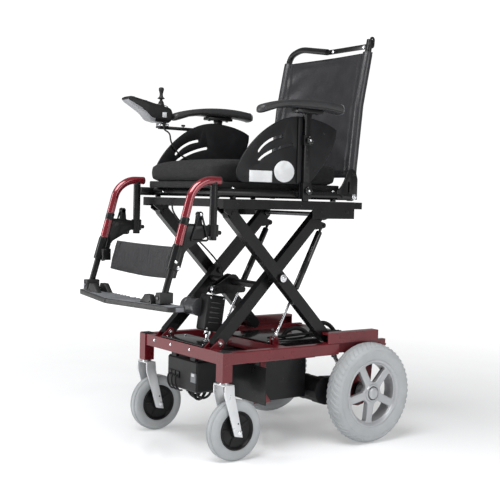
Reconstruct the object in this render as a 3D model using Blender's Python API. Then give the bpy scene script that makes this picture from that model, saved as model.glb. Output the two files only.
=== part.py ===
"""Elevating power wheelchair: a powered base that carries a seat on a scissor lift.

Metres, +Z up. The chair faces -Y, the occupant's left is +X. The origin is on the floor,
under the middle of the chair's bounding box. Inside the model every y is measured from the
drive axle, and the root empty moves the whole chair by AXLE_Y. Modelled in the raised pose.
"""
from math import atan2, cos, degrees, pi, radians, sin, sqrt

import bmesh
import bpy
from mathutils import Matrix, Vector

for old in list(bpy.data.objects):
    bpy.data.objects.remove(old, do_unlink=True)

# Clearances
GAP = 0.0003                # between pieces that touch
RUN = 0.0005                # between pieces that turn or slide on each other
SIDE = 0.001                # sideways play of moving links
WELD = 0.0005               # how far welded pieces run into each other
PIN_SIDES = 9               # a pin's corners meet the flats of its eight-sided bore

# Drive wheels
DRIVE_RADIUS = 0.1775
DRIVE_WIDTH = 0.074
DRIVE_X = 0.289             # wheel centre plane from the chair's centre plane
RIM_RADIUS = 0.117
SPOKES = 5

# Casters
CASTER_RADIUS = 0.100
CASTER_WIDTH = 0.050
CASTER_RIM = 0.062
CASTER_X = 0.248
SWIVEL_Y = -0.595
CASTER_TRAIL = 0.043
CROWN_RISE = 0.035          # fork crown above the caster tyre
FORK_BAR = 0.005            # thickness of the fork's flat bar

# Base frame
RAIL_WIDTH = 0.030
RAIL_DEPTH = 0.040
RAIL_X = 0.250
POST_SIZE = 0.038
TYRE_CLEAR = 0.0015         # lift channel above the drive tyre
CHANNEL_DEPTH = 0.0375
CHANNEL_WALL = 0.0035
ROLLER_RADIUS = 0.0125
MID_MEMBER_Y = -0.330
REAR_MEMBER_Y = 0.100

# Scissor lift
FRONT_PIVOT_Y = -0.565
ARM_LENGTH = 0.601          # pivot to roller
ARM_ANGLE = 45.7            # above the floor when raised, degrees
ARM_TRAVEL = 23.2           # how far the arms swing down, degrees
ARM_DEPTH = 0.040
ARM_WIDTH = 0.030
INNER_ARM_X = 0.157
OUTER_ARM_X = 0.213
PIVOT_PIN = 0.008
CROSS_TUBE_Y = -0.385       # cross tube between the inner arms
CROSS_TUBE_RADIUS = 0.0125

# Gas springs
GAS_TUBE_RADIUS = 0.0115
GAS_BORE = 0.0100
GAS_ROD_RADIUS = 0.0045
GAS_TUBE_LENGTH = 0.248
GAS_EYE = 0.0095
GAS_STROKE = 0.0725         # how far the rods go in when the lift comes down

# Lift actuator
ACTUATOR_X = -0.035
ACTUATOR_FOOT = (-0.490, 0.250)
ACTUATOR_HEAD = (-0.450, 0.530)
ACTUATOR_BOX = (0.060, 0.074, 0.128)
ACTUATOR_ROD = 0.0090
ACTUATOR_MOTOR = 0.0315
ACTUATOR_MOTOR_Y = -0.500

# Motors and batteries
MOTOR_Y = -0.150
MOTOR_Z = 0.185
MOTOR_RADIUS = 0.044
MOTOR_INNER_X = 0.030
BATTERY_SIZE = (0.172, 0.210, 0.1495)
TRAY_BOTTOM = 0.163
TRAY_FRONT_Y = -0.420
SHEET = 0.003

# Lift frame and seat frame
LIFT_RAIL_WIDTH = 0.026
LIFT_RAIL_DEPTH = 0.030
LIFT_FRONT_Y = -0.618
SEAT_SPACER = 0.006
SEAT_TUBE = 0.0145
SEAT_TUBE_X = 0.235
SEAT_REAR_Y = -0.078
BOARD = 0.022
CUSHION_SIZE = (0.436, 0.519, 0.067)
CUSHION_FRONT_Y = -0.624

# Backrest
CANE_X = 0.225
CANE_RADIUS = 0.0115
RECLINE_Y = -0.058
RECLINE_Z_RISE = -0.0016
CANE_KNEE_RISE = 0.3224
CANE_KNEE_Y = -0.030
CANE_TOP_Y = 0.015
CANE_PAST_SLING = 0.045     # cane above the sling
SLING_BOTTOM_RISE = 0.0654
SLING_TOP_RISE = 0.5104
SLING_THICK = 0.016
SLEEVE = 0.0045             # wall of the sleeve round each cane
SLEEVE_PLAY = 0.0012

# Side panels and armrests
PANEL_X = 0.2555
PANEL_THICK = 0.008
PANEL_BOTTOM_RISE = 0.0354
PANEL_TOP_RISE = 0.2604
PANEL_FRONT_Y = -0.573
PANEL_CREST_Y = -0.330
PANEL_REAR_Y = -0.158
ARM_POST_Y = -0.295
ARM_POST = (0.010, 0.024)
PAD_WIDTH = 0.055
PAD_FRONT_Y = -0.500
PAD_REAR_Y = -0.142
PAD_CREST_RISE = 0.3204
PAD_THICK = 0.034

# Controller
CONTROL_X = 0.281
CONTROL_BAR = 0.012
CONTROL_Z_RISE = 0.2334
CABLE_RADIUS = 0.0030
LIFT_CABLE_X = -0.080
POD_WIDTH = 0.064
STICK_Y = -0.537
POD_TOP_RISE = 0.3084
WELL_RADIUS = 0.0235        # well in the pod that the joystick stands in
GIMBAL_BORE = 0.0190

# Hangers and footplates. A name with RISE is a height above the seat tubes
HANGER_X = 0.245
HANGER_POST_Y = -0.650
HANGER_TUBE = 0.0135
HANGER_LOW_RISE = -0.1516          # lower and upper end of the post that the hanger swings on
HANGER_HIGH_RISE = 0.0234
POST_RADIUS = 0.0125
LEG_TUBE = 0.0105
LEG_TILT = 16.3             # leg tube from vertical, degrees
LEG_JOIN_REACH = 0.129      # where the sleeve begins, ahead of the post
LEG_JOIN_DROP = 0.017       # and below it
FOOT_TOP_RISE = -0.3491
FOOT_THICK = 0.017
FOOT_FRONT = 0.900          # centre of the front edge ahead of the axle
FOOT_SWEEP = 0.060          # how far the outer front corner lies behind it
FOOT_DEPTH = 0.100
FOOT_HALF = 0.310
FOOT_HINGE_X = 0.205
STRAP_DROP = 0.006          # top of the strap below the sleeve
STRAP_TALL = 0.097
STRAP_END = 0.2155          # outer end of each half of the calf strap
STRAP_THICK = 0.012

# Derived places
AXLE_Y = (FOOT_FRONT - DRIVE_RADIUS) / 2
CHANNEL_BOTTOM = 2 * DRIVE_RADIUS + TYRE_CLEAR
CHANNEL_TOP = CHANNEL_BOTTOM + CHANNEL_DEPTH
RAIL_TOP = CHANNEL_BOTTOM + WELD
RAIL_BOTTOM = RAIL_TOP - RAIL_DEPTH
LOW_PIVOT_Z = CHANNEL_BOTTOM + CHANNEL_WALL + ROLLER_RADIUS + RUN
HIGH_PIVOT_Z = LOW_PIVOT_Z + ARM_LENGTH * sin(radians(ARM_ANGLE))
ARM_REAR_Y = FRONT_PIVOT_Y + ARM_LENGTH * cos(radians(ARM_ANGLE))
ARM_REAR_LOW_Y = FRONT_PIVOT_Y + ARM_LENGTH * cos(radians(ARM_ANGLE - ARM_TRAVEL))
MID_PIVOT = ((FRONT_PIVOT_Y + ARM_REAR_Y) / 2, (LOW_PIVOT_Z + HIGH_PIVOT_Z) / 2)
LIFT_TOP = HIGH_PIVOT_Z + ARM_DEPTH / 2 + 0.026
SEAT_TUBE_Z = LIFT_TOP + SEAT_SPACER + SEAT_TUBE
BOARD_TOP = SEAT_TUBE_Z + SEAT_TUBE + BOARD - WELD
RECLINE_Z = SEAT_TUBE_Z + RECLINE_Z_RISE
SLING_BOTTOM = SEAT_TUBE_Z + SLING_BOTTOM_RISE
SLING_TOP = SEAT_TUBE_Z + SLING_TOP_RISE
PANEL_BOTTOM = SEAT_TUBE_Z + PANEL_BOTTOM_RISE
PANEL_TOP = SEAT_TUBE_Z + PANEL_TOP_RISE
PAD_CREST = SEAT_TUBE_Z + PAD_CREST_RISE
CONTROL_Z = SEAT_TUBE_Z + CONTROL_Z_RISE
POD_TOP = SEAT_TUBE_Z + POD_TOP_RISE
HANGER_LOW = SEAT_TUBE_Z + HANGER_LOW_RISE
HANGER_HIGH = SEAT_TUBE_Z + HANGER_HIGH_RISE
FOOT_TOP = SEAT_TUBE_Z + FOOT_TOP_RISE
SEAT_FRONT_Y = HANGER_POST_Y + 0.006
CANE_KNEE = (CANE_KNEE_Y, SEAT_TUBE_Z + CANE_KNEE_RISE)
CANE_TOP = (CANE_TOP_Y, SLING_TOP + CANE_PAST_SLING)
LEG_JOIN = (HANGER_POST_Y - LEG_JOIN_REACH, HANGER_LOW - LEG_JOIN_DROP)
STRAP_TOP = LEG_JOIN[1] - STRAP_DROP
STRAP_BOTTOM = STRAP_TOP - STRAP_TALL
CUSHION_BOTTOM = BOARD_TOP + GAP


# Shape helpers: each returns one closed mesh object
def arc(centre, radius, start, end, steps):
    """Points on an arc, angles in degrees, both ends included."""
    turns = [radians(start + (end - start) * i / steps) for i in range(steps + 1)]
    return [(centre[0] + radius * cos(t), centre[1] + radius * sin(t)) for t in turns]


def link_outline(p, q, rp, rq=None, steps=4):
    """Outline of a link with a round end at p and at q."""
    rq = rp if rq is None else rq
    lean = degrees(atan2(q[1] - p[1], q[0] - p[0]))
    return arc(q, rq, lean - 90, lean + 90, steps) + arc(p, rp, lean + 90, lean + 270, steps)


def bezier(p0, p1, p2, p3, steps):
    """Points on a cubic curve, both ends included."""
    points = []
    for i in range(steps + 1):
        t = i / steps
        weights = ((1 - t) ** 3, 3 * t * (1 - t) ** 2, 3 * t * t * (1 - t), t ** 3)
        points.append(tuple(sum(w * p[k] for w, p in zip(weights, (p0, p1, p2, p3)))
                            for k in range(len(p0))))
    return points


def rounded_route(corners, radius, steps=5):
    """A route through corners, each replaced by a bend."""
    corners = [Vector(c) for c in corners]
    route = [corners[0]]
    for before, here, after in zip(corners, corners[1:], corners[2:]):
        reach = min(radius, (here - before).length * 0.49, (after - here).length * 0.49)
        a = here + (before - here).normalized() * reach
        b = here + (after - here).normalized() * reach
        for i in range(steps + 1):
            t = i / steps
            route.append(a * (1 - t) ** 2 + here * 2 * t * (1 - t) + b * t * t)
    route.append(corners[-1])
    return route


def mesh_object(bm):
    bmesh.ops.recalc_face_normals(bm, faces=bm.faces)
    if bm.calc_volume(signed=True) < 0:
        bmesh.ops.reverse_faces(bm, faces=bm.faces)
    mesh = bpy.data.meshes.new("shape")
    bm.to_mesh(mesh)
    bm.free()
    ob = bpy.data.objects.new("shape", mesh)
    bpy.context.scene.collection.objects.link(ob)
    return ob


def block(x, y, z, soft=0.0, steps=1):
    """A box between pairs of x, y and z, with softened edges if asked."""
    bm = bmesh.new()
    bmesh.ops.create_cube(bm, size=1.0)
    spans = [sorted(pair) for pair in (x, y, z)]
    bmesh.ops.scale(bm, vec=Vector([b - a for a, b in spans]), verts=bm.verts)
    bmesh.ops.translate(bm, vec=Vector([(a + b) / 2 for a, b in spans]), verts=bm.verts)
    if soft:
        bmesh.ops.bevel(bm, geom=bm.edges[:], offset=soft, segments=steps, profile=0.5,
                        affect="EDGES")
    return mesh_object(bm)


def rod(a, b, radius, end_radius=None, sides=10):
    """A round bar, or a cone, from a to b."""
    a, b = Vector(a), Vector(b)
    bm = bmesh.new()
    bmesh.ops.create_cone(bm, cap_ends=True, segments=sides, radius1=radius,
                          radius2=radius if end_radius is None else end_radius,
                          depth=(b - a).length)
    turn = (b - a).to_track_quat("Z", "Y").to_matrix().to_4x4()
    bmesh.ops.transform(bm, matrix=Matrix.Translation((a + b) / 2) @ turn, verts=bm.verts)
    return mesh_object(bm)


def turning(pin, sides=8):
    """Radius of a faceted bore that a pin of this radius still turns in."""
    return (pin + RUN) / cos(pi / sides)


def x_rod(x, yz, radius, sides=10):
    """A round bar along X between the pair x, at (y, z)."""
    return rod((x[0], yz[0], yz[1]), (x[1], yz[0], yz[1]), radius, sides=sides)


def plate(outline, axis, span, soft=0.0, steps=1):
    """An outline pushed along an axis: (y, z) along x, (x, z) along y, (x, y) along z."""
    place = {"x": lambda u, v, w: (w, u, v),
             "y": lambda u, v, w: (u, w, v),
             "z": lambda u, v, w: (u, v, w)}[axis]
    bm = bmesh.new()
    face = bm.faces.new([bm.verts.new(place(u, v, span[0])) for u, v in outline])
    grown = bmesh.ops.extrude_face_region(bm, geom=[face])["geom"]
    moved = [g for g in grown if isinstance(g, bmesh.types.BMVert)]
    bmesh.ops.translate(bm, vec=Vector(place(0, 0, span[1] - span[0])), verts=moved)
    if soft:
        rims = [e for e in bm.edges
                if abs((e.verts[0].co - e.verts[1].co).dot(Vector(place(0, 0, 1)))) < 1e-7]
        bmesh.ops.bevel(bm, geom=rims, offset=soft, segments=steps, profile=0.5,
                        affect="EDGES")
    return mesh_object(bm)


def turned(profile, centre, axis=(1, 0, 0), sides=28, ring=True):
    """A profile of (radius, height) turned about an axis; ring=False ends on the axis."""
    bm = bmesh.new()
    verts = [bm.verts.new((r, 0, h)) for r, h in profile]
    edges = [bm.edges.new(pair) for pair in zip(verts, verts[1:])]
    if ring:
        edges.append(bm.edges.new((verts[-1], verts[0])))
    bmesh.ops.spin(bm, geom=verts + edges, cent=(0, 0, 0), axis=(0, 0, 1), angle=2 * pi,
                   steps=sides, use_merge=True)
    bmesh.ops.remove_doubles(bm, verts=bm.verts, dist=1e-6)
    turn = Vector(axis).to_track_quat("Z", "Y").to_matrix().to_4x4()
    bmesh.ops.transform(bm, matrix=Matrix.Translation(centre) @ turn, verts=bm.verts)
    return mesh_object(bm)


def pipe(route, radius, sides=10):
    """A bevelled curve along a route, with filled ends."""
    curve = bpy.data.curves.new("route", "CURVE")
    curve.dimensions = "3D"
    curve.bevel_depth = radius
    curve.bevel_resolution = (sides - 4) // 2
    curve.render_resolution_u = 0
    curve.use_fill_caps = True
    spline = curve.splines.new("POLY")
    spline.points.add(len(route) - 1)
    for point, at in zip(spline.points, route):
        point.co = (*at, 1.0)
    ob = bpy.data.objects.new("route", curve)
    bpy.context.scene.collection.objects.link(ob)
    bm = bmesh.new()
    bm.from_mesh(settled(ob))
    bpy.data.objects.remove(ob, do_unlink=True)
    bmesh.ops.remove_doubles(bm, verts=bm.verts, dist=1e-6)
    return mesh_object(bm)


def settled(ob):
    """The object's mesh with its modifiers done."""
    graph = bpy.context.evaluated_depsgraph_get()
    return bpy.data.meshes.new_from_object(ob.evaluated_get(graph))


def joined(pieces, cuts=()):
    """One solid from overlapping pieces, less the cuts."""
    base = pieces[0]
    for kind, tools in (("UNION", pieces[1:]), ("DIFFERENCE", cuts)):
        for tool in tools:
            step = base.modifiers.new(kind, "BOOLEAN")
            step.operation = kind
            step.solver = "EXACT"
            step.object = tool
    bm = bmesh.new()
    bm.from_mesh(settled(base))
    bmesh.ops.dissolve_limit(bm, angle_limit=radians(0.3), verts=bm.verts, edges=bm.edges)
    for used in [*pieces, *cuts]:
        bpy.data.objects.remove(used, do_unlink=True)
    return mesh_object(bm)


LOOKS = {  # colour, roughness, metallic
    "black_steel": ((0.012, 0.012, 0.013), 0.38, 0.0),
    "red_steel": ((0.085, 0.008, 0.012), 0.28, 0.3),
    "bright_steel": ((0.62, 0.63, 0.65), 0.25, 1.0),
    "rim_silver": ((0.45, 0.46, 0.48), 0.35, 0.7),
    "grey_tyre": ((0.38, 0.39, 0.40), 0.75, 0.0),
    "black_plastic": ((0.015, 0.015, 0.016), 0.45, 0.0),
    "grey_plastic": ((0.20, 0.20, 0.21), 0.50, 0.0),
    "black_cloth": ((0.014, 0.014, 0.015), 0.85, 0.0),
    "dark_vinyl": ((0.035, 0.036, 0.038), 0.50, 0.0),
    "black_rubber": ((0.013, 0.013, 0.013), 0.60, 0.0),
}

origins = {}


def body(name, at, parent=None):
    """An empty on a joint's axis that carries the nodes of one moving body."""
    empty = bpy.data.objects.new(name, None)
    bpy.context.scene.collection.objects.link(empty)
    origins[name] = Vector(at)
    empty.location = Vector(at) - (origins[parent.name] if parent else Vector())
    empty.parent = parent
    empty.empty_display_size = 0.03
    return empty


def node(name, carrier, shape, look):
    """Names a finished shape, hangs it on its body and gives it a material."""
    ob = shape
    ob.name = name
    ob.data.name = name
    ob.data.transform(Matrix.Translation(-origins[carrier.name]))
    ob.parent = carrier
    ob.data.materials.clear()
    colour, rough, metal = LOOKS[look]
    material = bpy.data.materials.new(name)
    material.use_nodes = True
    shader = material.node_tree.nodes["Principled BSDF"]
    shader.inputs["Base Color"].default_value = (*colour, 1.0)
    shader.inputs["Roughness"].default_value = rough
    shader.inputs["Metallic"].default_value = metal
    ob.data.materials.append(material)
    ob.data.shade_smooth()
    ob.data.set_sharp_from_angle(angle=radians(32))
    return ob


SIDES = (("left", 1), ("right", -1))


def pair(s, a, b):
    """The span a..b on side s."""
    return tuple(sorted((s * a, s * b)))


root = body("chassis_root", (0, 0, 0))
root.location = (0, AXLE_Y, 0)


# Base
def make_base():
    rail = (RAIL_X - RAIL_WIDTH / 2, RAIL_X + RAIL_WIDTH / 2)
    tyre_in = DRIVE_X - DRIVE_WIDTH / 2
    inner_rail = (OUTER_ARM_X + ARM_WIDTH / 2 + 0.0035, tyre_in - 0.003)
    rail_rear = -sqrt(DRIVE_RADIUS ** 2 - (RAIL_BOTTOM - DRIVE_RADIUS) ** 2) - 0.010
    channel = (ARM_REAR_Y - 0.027, ARM_REAR_LOW_Y + 0.072)
    inner_bottom = RAIL_BOTTOM + 0.003
    crown_top = 2 * CASTER_RADIUS + CROWN_RISE + 0.020
    post_bottom = crown_top + 0.006
    member = (RAIL_BOTTOM, RAIL_TOP - 0.005)
    front_tube = (SWIVEL_Y - 0.015, SWIVEL_Y + 0.015)
    solids, holes = [], []
    solids.append(block((-rail[0] - 0.006, rail[0] + 0.006), front_tube,
                        (RAIL_BOTTOM, RAIL_TOP)))
    for y in (MID_MEMBER_Y, REAR_MEMBER_Y):
        solids.append(block((-rail[0] - 0.002, rail[0] + 0.002), (y - 0.015, y + 0.015),
                            member))
    for name, s in SIDES:
        solids.append(block(pair(s, CASTER_X - POST_SIZE / 2, CASTER_X + POST_SIZE / 2),
                            (SWIVEL_Y - POST_SIZE / 2, SWIVEL_Y + POST_SIZE / 2),
                            (post_bottom, RAIL_TOP + 0.0006)))
        holes.append(rod((s * CASTER_X, SWIVEL_Y, post_bottom - 0.01),
                         (s * CASTER_X, SWIVEL_Y, RAIL_TOP - 0.020), turning(0.010), sides=8))
        solids.append(block(pair(s, *rail), (SWIVEL_Y + POST_SIZE / 2 - 0.006, rail_rear),
                            (RAIL_BOTTOM + 0.0001, RAIL_TOP - 0.0001), 0.0025))
        solids.append(block(pair(s, *inner_rail), (rail_rear - 0.080, REAR_MEMBER_Y + 0.0155),
                            (inner_bottom, RAIL_TOP - 0.001)))
        # The lift channel: an open section that the outer arm's roller runs in
        lip = inner_rail[0]
        top, bottom = CHANNEL_TOP, CHANNEL_BOTTOM
        roof = LOW_PIVOT_Z + ROLLER_RADIUS + 2 * RUN
        wall = rail[1] - CHANNEL_WALL
        floor = bottom + CHANNEL_WALL
        outline = [(s * rail[1], bottom), (s * rail[1], top), (s * lip, top),
                   (s * lip, roof), (s * wall, roof), (s * wall, floor),
                   (s * lip, floor), (s * lip, bottom)]
        solids.append(plate(outline, "y", channel))
        solids.append(block(pair(s, lip + 0.0002, rail[1] - 0.0002),
                            (channel[1] - CHANNEL_WALL, channel[1] + 0.0004),
                            (bottom + 0.0002, top - 0.0002)))
        # Motor plate inside the wheel
        motor_plate = arc((0, DRIVE_RADIUS), 0.058, 200, 340, 6)
        motor_plate += [(0.070, inner_bottom + 0.006), (-0.070, inner_bottom + 0.006)]
        solids.append(plate(motor_plate, "x", pair(s, inner_rail[0], inner_rail[0] + 0.007)))
        holes.append(x_rod((s * (inner_rail[0] - 0.01), s * (inner_rail[0] + 0.02)),
                           (0, DRIVE_RADIUS), 0.030))
        # Front pivot of the inner arm: two ears on the front tube and their pin
        ear = arc((FRONT_PIVOT_Y, LOW_PIVOT_Z), 0.017, 90, -60, 5)
        ear += [(front_tube[1] - 0.006, RAIL_BOTTOM + 0.012), (front_tube[0] + 0.006, RAIL_TOP)]
        reach = ARM_WIDTH / 2 + SIDE
        for side in (-1, 1):
            near = INNER_ARM_X + side * reach
            solids.append(plate(ear, "x", pair(s, near, near + side * 0.005)))
        solids.append(x_rod((s * (INNER_ARM_X - reach - 0.008), s * (INNER_ARM_X + reach + 0.008)),
                            (FRONT_PIVOT_Y, LOW_PIVOT_Z), PIVOT_PIN, PIN_SIDES))
        # Gas spring foot: two ears and a pin on the mid member
        foot = gas_foot()
        for side in (-1, 1):
            near = INNER_ARM_X + side * 0.0065
            ear = [(foot[0] - 0.012, member[1] - 0.004)]
            ear += [(foot[0] + 0.012, member[1] - 0.004)] + arc(foot, 0.011, 0, 180, 4)
            solids.append(plate(ear, "x", pair(s, near, near + side * 0.004)))
        solids.append(x_rod((s * (INNER_ARM_X - 0.014), s * (INNER_ARM_X + 0.014)), foot,
                            0.004, 8))
    # Actuator foot: two cheeks behind the control box, and their pin
    foot = ACTUATOR_FOOT
    cheek = [(front_tube[1] - 0.006, RAIL_BOTTOM + 0.014),
             (front_tube[1] - 0.006, RAIL_BOTTOM + 0.001),
             (foot[0] - 0.013, RAIL_BOTTOM + 0.001)]
    cheek += arc(foot, 0.013, 180, 360, 6) + [(foot[0] + 0.013, RAIL_BOTTOM + 0.014)]
    for side in (-1, 1):
        near = ACTUATOR_X + side * 0.0125
        solids.append(plate(cheek, "x", (near, near + side * 0.006)))
    solids.append(x_rod((ACTUATOR_X - 0.022, ACTUATOR_X + 0.022), foot, 0.006, 8))
    node("base_frame", root, joined(solids, holes), "red_steel")


def gas_foot():
    """Lower eye of the gas springs, over the mid member."""
    return (MID_MEMBER_Y + 0.005, RAIL_TOP + 0.014)


def gas_head():
    """Upper eye of the gas springs, on the bracket under the inner arm's end."""
    lean = radians(ARM_ANGLE)
    back, drop = 0.0132, 0.0423
    return (ARM_REAR_Y - back * cos(lean) + drop * sin(lean),
            HIGH_PIVOT_Z - back * sin(lean) - drop * cos(lean))


def make_power_unit():
    tray_top = RAIL_BOTTOM - GAP
    wide = BATTERY_SIZE[0] + 0.0045
    rear = TRAY_FRONT_Y + BATTERY_SIZE[1] + 2 * SHEET + 0.004
    pieces = [block((-wide, wide), (TRAY_FRONT_Y, rear), (TRAY_BOTTOM, TRAY_BOTTOM + SHEET)),
              block((-0.240, 0.240), (TRAY_FRONT_Y, TRAY_FRONT_Y + SHEET),
                    (TRAY_BOTTOM, TRAY_BOTTOM + 0.128))]
    for name, s in SIDES:
        pieces.append(block(pair(s, wide, wide + SHEET), (TRAY_FRONT_Y + 0.0002, rear),
                            (TRAY_BOTTOM + 0.0002, tray_top)))
        for y in (TRAY_FRONT_Y + 0.020, rear - 0.060):
            pieces.append(block(pair(s, wide + 0.001, RAIL_X + 0.004), (y, y + 0.040),
                                (tray_top - SHEET, tray_top - 0.0001)))
    node("battery_tray", root, joined(pieces), "black_steel")
    for name, s in SIDES:
        bottom = TRAY_BOTTOM + SHEET + GAP
        top = bottom + BATTERY_SIZE[2]
        x = pair(s, 0.002, 0.002 + BATTERY_SIZE[0])
        y = (TRAY_FRONT_Y + SHEET + 0.002, TRAY_FRONT_Y + SHEET + 0.002 + BATTERY_SIZE[1])
        case = block(x, y, (bottom, top - 0.022), 0.004)
        lid = block((x[0] - 0.0008, x[1] + 0.0008), (y[0] - 0.0008, y[1] + 0.0008),
                    (top - 0.024, top - 0.004))
        hood = block((x[0] + 0.030, x[1] - 0.030), (y[0] + 0.015, y[0] + 0.060),
                     (top - 0.008, top))
        node("battery_" + name, root, joined([case, lid, hood]), "black_plastic")
    # Gear motor across the chair, with a gear case back to the wheel axle
    for name, s in SIDES:
        seat = OUTER_ARM_X + ARM_WIDTH / 2 + 0.0035 - GAP
        case = seat - 0.038
        drum = [(0, MOTOR_INNER_X), (MOTOR_RADIUS - 0.012, MOTOR_INNER_X),
                (MOTOR_RADIUS - 0.003, MOTOR_INNER_X + 0.006),
                (MOTOR_RADIUS - 0.003, MOTOR_INNER_X + 0.030),
                (MOTOR_RADIUS, MOTOR_INNER_X + 0.033), (MOTOR_RADIUS, case + 0.004), (0, case + 0.004)]
        pieces = [turned(drum, (0, MOTOR_Y, MOTOR_Z), (s, 0, 0), 14, ring=False)]
        pieces.append(plate(link_outline((MOTOR_Y, MOTOR_Z), (0, DRIVE_RADIUS), 0.048, 0.046, 6),
                            "x", pair(s, case, seat)))
        pieces.append(x_rod((s * (seat - 0.004), s * (seat + 0.0125)), (0, DRIVE_RADIUS), 0.029))
        pieces.append(x_rod((s * seat, s * (DRIVE_X - 0.004)), (0, DRIVE_RADIUS), 0.008, PIN_SIDES))
        lug = lever_pivot()
        pieces.append(plate([(lug[0] - 0.012, DRIVE_RADIUS + 0.030), (lug[0] + 0.012, DRIVE_RADIUS + 0.030)]
                            + arc(lug, 0.009, 0, 180, 6), "x", pair(s, case + 0.010, case + 0.016)))
        pieces.append(x_rod((s * (case + 0.012), s * (case + 0.0245)), lug, 0.004, 8))
        node("motor_" + name, root, joined(pieces), "black_plastic")
        lever = body("freewheel_" + name + "_axis", (s * (case + 0.020), *lug), root)
        tip = (lug[0] - 0.040, lug[1] + 0.052)
        handle = plate(link_outline(lug, tip, 0.0085, 0.006, 5), "x",
                       pair(s, case + 0.0165, case + 0.0215))
        grip = x_rod((s * (case + 0.0105), s * (case + 0.0275)), tip, 0.0065, 10)
        hole = x_rod((s * (case + 0.010), s * (case + 0.030)), lug, turning(0.004), 8)
        node("freewheel_lever_" + name, lever, joined([handle, grip], [hole]), "bright_steel")


def lever_pivot():
    """Axis of the freewheel levers, on top of the gear case."""
    return (-0.057, DRIVE_RADIUS + 0.0725)


def make_covers():
    front = SWIVEL_Y - 0.010
    deck = block((-0.130, 0.130), (front, front + 0.105), (RAIL_TOP + GAP, RAIL_TOP + GAP + 0.006),
                 0.002)
    node("deck_cover", root, deck, "black_plastic")
    box_top = RAIL_BOTTOM - 0.014
    pieces = [block((-0.095, 0.095), (SWIVEL_Y - 0.005, SWIVEL_Y + 0.079),
                    (box_top - 0.108, box_top), 0.006)]
    for x in (-0.060, 0.060):
        pieces.append(block((x - 0.015, x + 0.015), (SWIVEL_Y - 0.001, SWIVEL_Y + 0.012),
                            (box_top - 0.004, RAIL_BOTTOM - GAP)))
    for x, drop in ((0.010, 0.026), (0.034, 0.034)):
        ends = (SWIVEL_Y + 0.020, SWIVEL_Y + 0.066)
        low = box_top - 0.108 - drop
        loop = bezier((x, ends[0], box_top - 0.104), (x, ends[0], low - 0.012),
                      (x + 0.006, ends[1], low - 0.012), (x + 0.006, ends[1], box_top - 0.104), 8)
        pieces.append(pipe(loop, 0.005, 6))
    node("control_box", root, joined(pieces), "black_plastic")
    # Cover over the motors, with two arched carrying loops
    level = RAIL_TOP - 0.005 + GAP
    y = (MID_MEMBER_Y - 0.006, REAR_MEMBER_Y - 0.004)
    cover = [block((-0.138, 0.138), y, (level, level + 0.005), 0.001)]
    for s in (-1, 1):
        cover.append(block(pair(s, 0.134, 0.138), (MID_MEMBER_Y + 0.018, REAR_MEMBER_Y - 0.018),
                           (level - 0.030, level + 0.003)))
    for x, start, end, rise in ((0.060, -0.215, -0.090, 0.034), (0.020, -0.050, 0.070, 0.042)):
        top = level + rise
        route = bezier((x, start, level + 0.002), (x, start + 0.020, top + 0.008),
                       (x, end - 0.040, top + 0.014), (x, end, level + 0.002), 8)
        cover.append(pipe(route, 0.008, 6))
    node("rear_cover", root, joined(cover), "black_plastic")


def make_drive_wheels():
    half = DRIVE_WIDTH / 2
    for name, s in SIDES:
        centre = (s * DRIVE_X, 0, DRIVE_RADIUS)
        hub = body("drive_axis_" + name, centre, root)
        bead, outer = RIM_RADIUS + GAP, DRIVE_RADIUS
        side = [(bead, 0.74 * half), (outer - 0.030, half), (outer - 0.009, 0.84 * half),
                (outer, 0.36 * half)]
        profile = side + [(r, -h) for r, h in reversed(side)]
        node("drive_tyre_" + name, hub, turned(profile, centre, sides=28), "grey_tyre")
        rim = [turned([(RIM_RADIUS - 0.014, -0.028), (RIM_RADIUS, -0.031), (RIM_RADIUS, 0.031),
                       (RIM_RADIUS - 0.014, 0.028)], centre, sides=28)]
        for k in range(SPOKES):
            turn = 2 * pi * k / SPOKES + radians(18)
            outline = []
            for r, w in ((0.026, 0.020), (RIM_RADIUS - 0.010, 0.0125),
                         (RIM_RADIUS - 0.010, -0.0125), (0.026, -0.020)):
                outline.append((r * cos(turn) - w * sin(turn),
                                DRIVE_RADIUS + r * sin(turn) + w * cos(turn)))
            rim.append(plate(outline, "x", (s * (DRIVE_X - 0.004), s * (DRIVE_X + 0.014))))
        cap = [(0, -0.030), (0.036, -0.030), (0.036, 0.018), (0.026, 0.024), (0.024, 0.032),
               (0.014, 0.0345), (0, 0.0345)]
        rim.append(turned(cap, centre, (s, 0, 0), 12, ring=False))
        bore = x_rod((s * (DRIVE_X - 0.040), s * (DRIVE_X - 0.002)), (0, DRIVE_RADIUS),
                     turning(0.008), 8)
        node("drive_rim_" + name, hub, joined(rim, [bore]), "rim_silver")


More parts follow.
